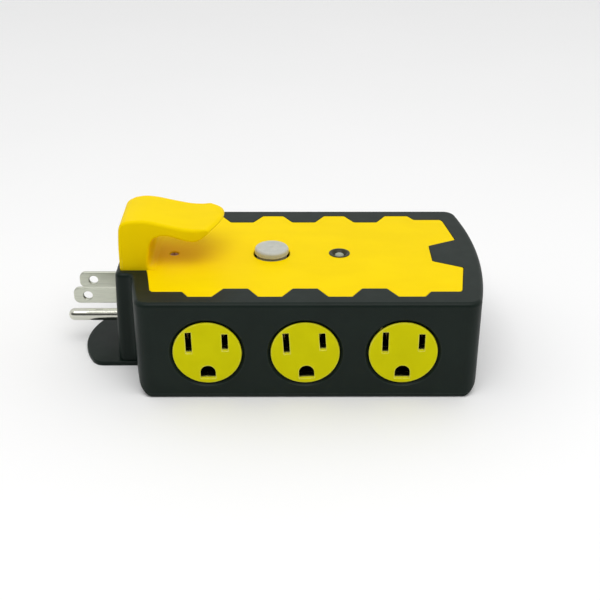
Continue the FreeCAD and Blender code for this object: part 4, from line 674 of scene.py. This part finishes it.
def make_pin():
    """The round pin with its bullet nose, lying along X, on a thinner shank inside the housing."""
    low, high = (Vector(corner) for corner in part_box("ground_pin"))
    radius, shank, nose, step = (high.z - low.z) / 2 / MM, 2.0, 2.3, 57.1
    blunt, stop, turns = 0.85, 84, 10  # how full the nose is, and how far round it goes, in how many steps
    tip, tail = -low.x / MM, -high.x / MM
    profile = [(0, tail), (shank, tail), (shank, step), (radius, step)]
    for k in range(turns + 1):
        turn = math.radians(stop / turns * k)
        rise = math.sin(turn) / math.sin(math.radians(stop))
        profile.append((radius * math.cos(turn) ** blunt, tip - nose + nose * rise))
    profile.append((0, tip))
    mesh = lathe("ground_pin_turning", profile)
    lying = Matrix.Rotation(math.radians(-90), 4, "Y")
    mesh.transform(Matrix.Translation((0, 0, (low.z + high.z) / 2)) @ lying)
    add_piece("ground_pin_turning", mesh, "adapter", "pin_nickel", ("ground_pin",))


make_cover()
make_button()
make_spring()
make_indicator()
make_blades()
make_pin()


# ---------------------------------------------------------------- camera, light and floor


def look_through(name, place, pitch, yaw, roll, lens):
    """A camera looking along +Y, turned down by its pitch, with a small yaw and roll."""
    forward = Vector((math.sin(yaw) * math.cos(pitch), math.cos(yaw) * math.cos(pitch), -math.sin(pitch)))
    right = Vector((math.cos(yaw), -math.sin(yaw), 0))
    up = right.cross(forward)
    rolled = right * math.cos(roll) + up * math.sin(roll)
    upright = up * math.cos(roll) - right * math.sin(roll)
    camera = bpy.data.objects.new(name, bpy.data.cameras.new(name))
    camera.data.sensor_width = 36
    camera.data.lens = lens
    camera.data.clip_start = 0.01
    turn = Matrix((rolled, upright, -forward)).transposed().to_4x4()
    camera.matrix_world = Matrix.Translation(place) @ turn
    bpy.context.scene.collection.objects.link(camera)
    return camera


def soft_light(name, place, size, power, aim):
    """A softbox turned towards the point it is aimed at."""
    lamp = bpy.data.objects.new(name, bpy.data.lights.new(name, "AREA"))
    lamp.data.shape = "RECTANGLE"
    lamp.data.size, lamp.data.size_y = size
    lamp.data.energy = power
    lamp.location = place
    lamp.rotation_euler = (Vector(aim) - Vector(place)).to_track_quat("-Z", "Y").to_euler()
    bpy.context.scene.collection.objects.link(lamp)


def make_floor(half):
    """A wide pale floor that the object stands on."""
    mesh = bpy.data.meshes.new("studio_floor")
    corners = [(-half, -half, 0), (half, -half, 0), (half, half, 0), (-half, half, 0)]
    mesh.from_pydata(corners, [], [(0, 1, 2, 3)])
    floor = bpy.data.objects.new("studio_floor", mesh)
    bpy.context.scene.collection.objects.link(floor)
    shader = Shader("studio_floor", (0.96, 0.96, 0.96), 0.6, Specular_IOR_Level=0.1)
    shader.tint(shader.noise(scale=6, detail=3), low=(0.955, 0.955, 0.955), high=(0.965, 0.965, 0.965))
    mesh.materials.append(shader.material)


def make_world(strength, dim):
    """Even white surroundings, with a dim band low down in front that gives the metal its dark streaks."""
    rise = ((0.0, 0.0), (0.02, 1.0), (0.58, 1.0), (0.68, 0.0))  # share of dimming at sines of elevation
    fade_in, full = -0.1, -0.5  # between these Y directions the band comes in, towards the front
    world = bpy.data.worlds.new("studio")
    world.use_nodes = True
    tree = world.node_tree
    direction = tree.nodes.new("ShaderNodeTexCoord").outputs["Generated"]
    split = tree.nodes.new("ShaderNodeSeparateXYZ")
    tree.links.new(direction, split.inputs["Vector"])
    band = tree.nodes.new("ShaderNodeValToRGB")
    for place, tone in rise:
        element = band.color_ramp.elements.new(place)
        element.color = (tone, tone, tone, 1)
    for element in (band.color_ramp.elements[0], band.color_ramp.elements[-1]):
        element.color = (0, 0, 0, 1)
    tree.links.new(split.outputs["Z"], band.inputs["Fac"])
    front = tree.nodes.new("ShaderNodeMapRange")
    front.inputs["From Min"].default_value = fade_in
    front.inputs["From Max"].default_value = full
    tree.links.new(split.outputs["Y"], front.inputs["Value"])
    both = tree.nodes.new("ShaderNodeMath")
    both.operation = "MULTIPLY"
    tree.links.new(band.outputs["Color"], both.inputs[0])
    tree.links.new(front.outputs["Result"], both.inputs[1])
    level = tree.nodes.new("ShaderNodeMapRange")
    level.inputs["To Min"].default_value = strength
    level.inputs["To Max"].default_value = dim
    tree.links.new(both.outputs["Value"], level.inputs["Value"])
    tree.links.new(level.outputs["Result"], tree.nodes["Background"].inputs["Strength"])
    tree.nodes["Background"].inputs["Color"].default_value = (1, 1, 1, 1)
    bpy.context.scene.world = world


make_floor(half=40.0)
soft_light("overhead_softbox", place=(0.05, -0.34, 0.85), size=(0.9, 0.5), power=3.5, aim=(0, 0, 0.02))
make_world(strength=0.84, dim=0.1)
bpy.context.scene.view_settings.view_transform = "Standard"

bpy.context.scene.camera = look_through(
    "photo_camera", place=(0.0085, -0.36828, 0.21458), pitch=0.4901, yaw=0.0068, roll=0.0023, lens=65.45)
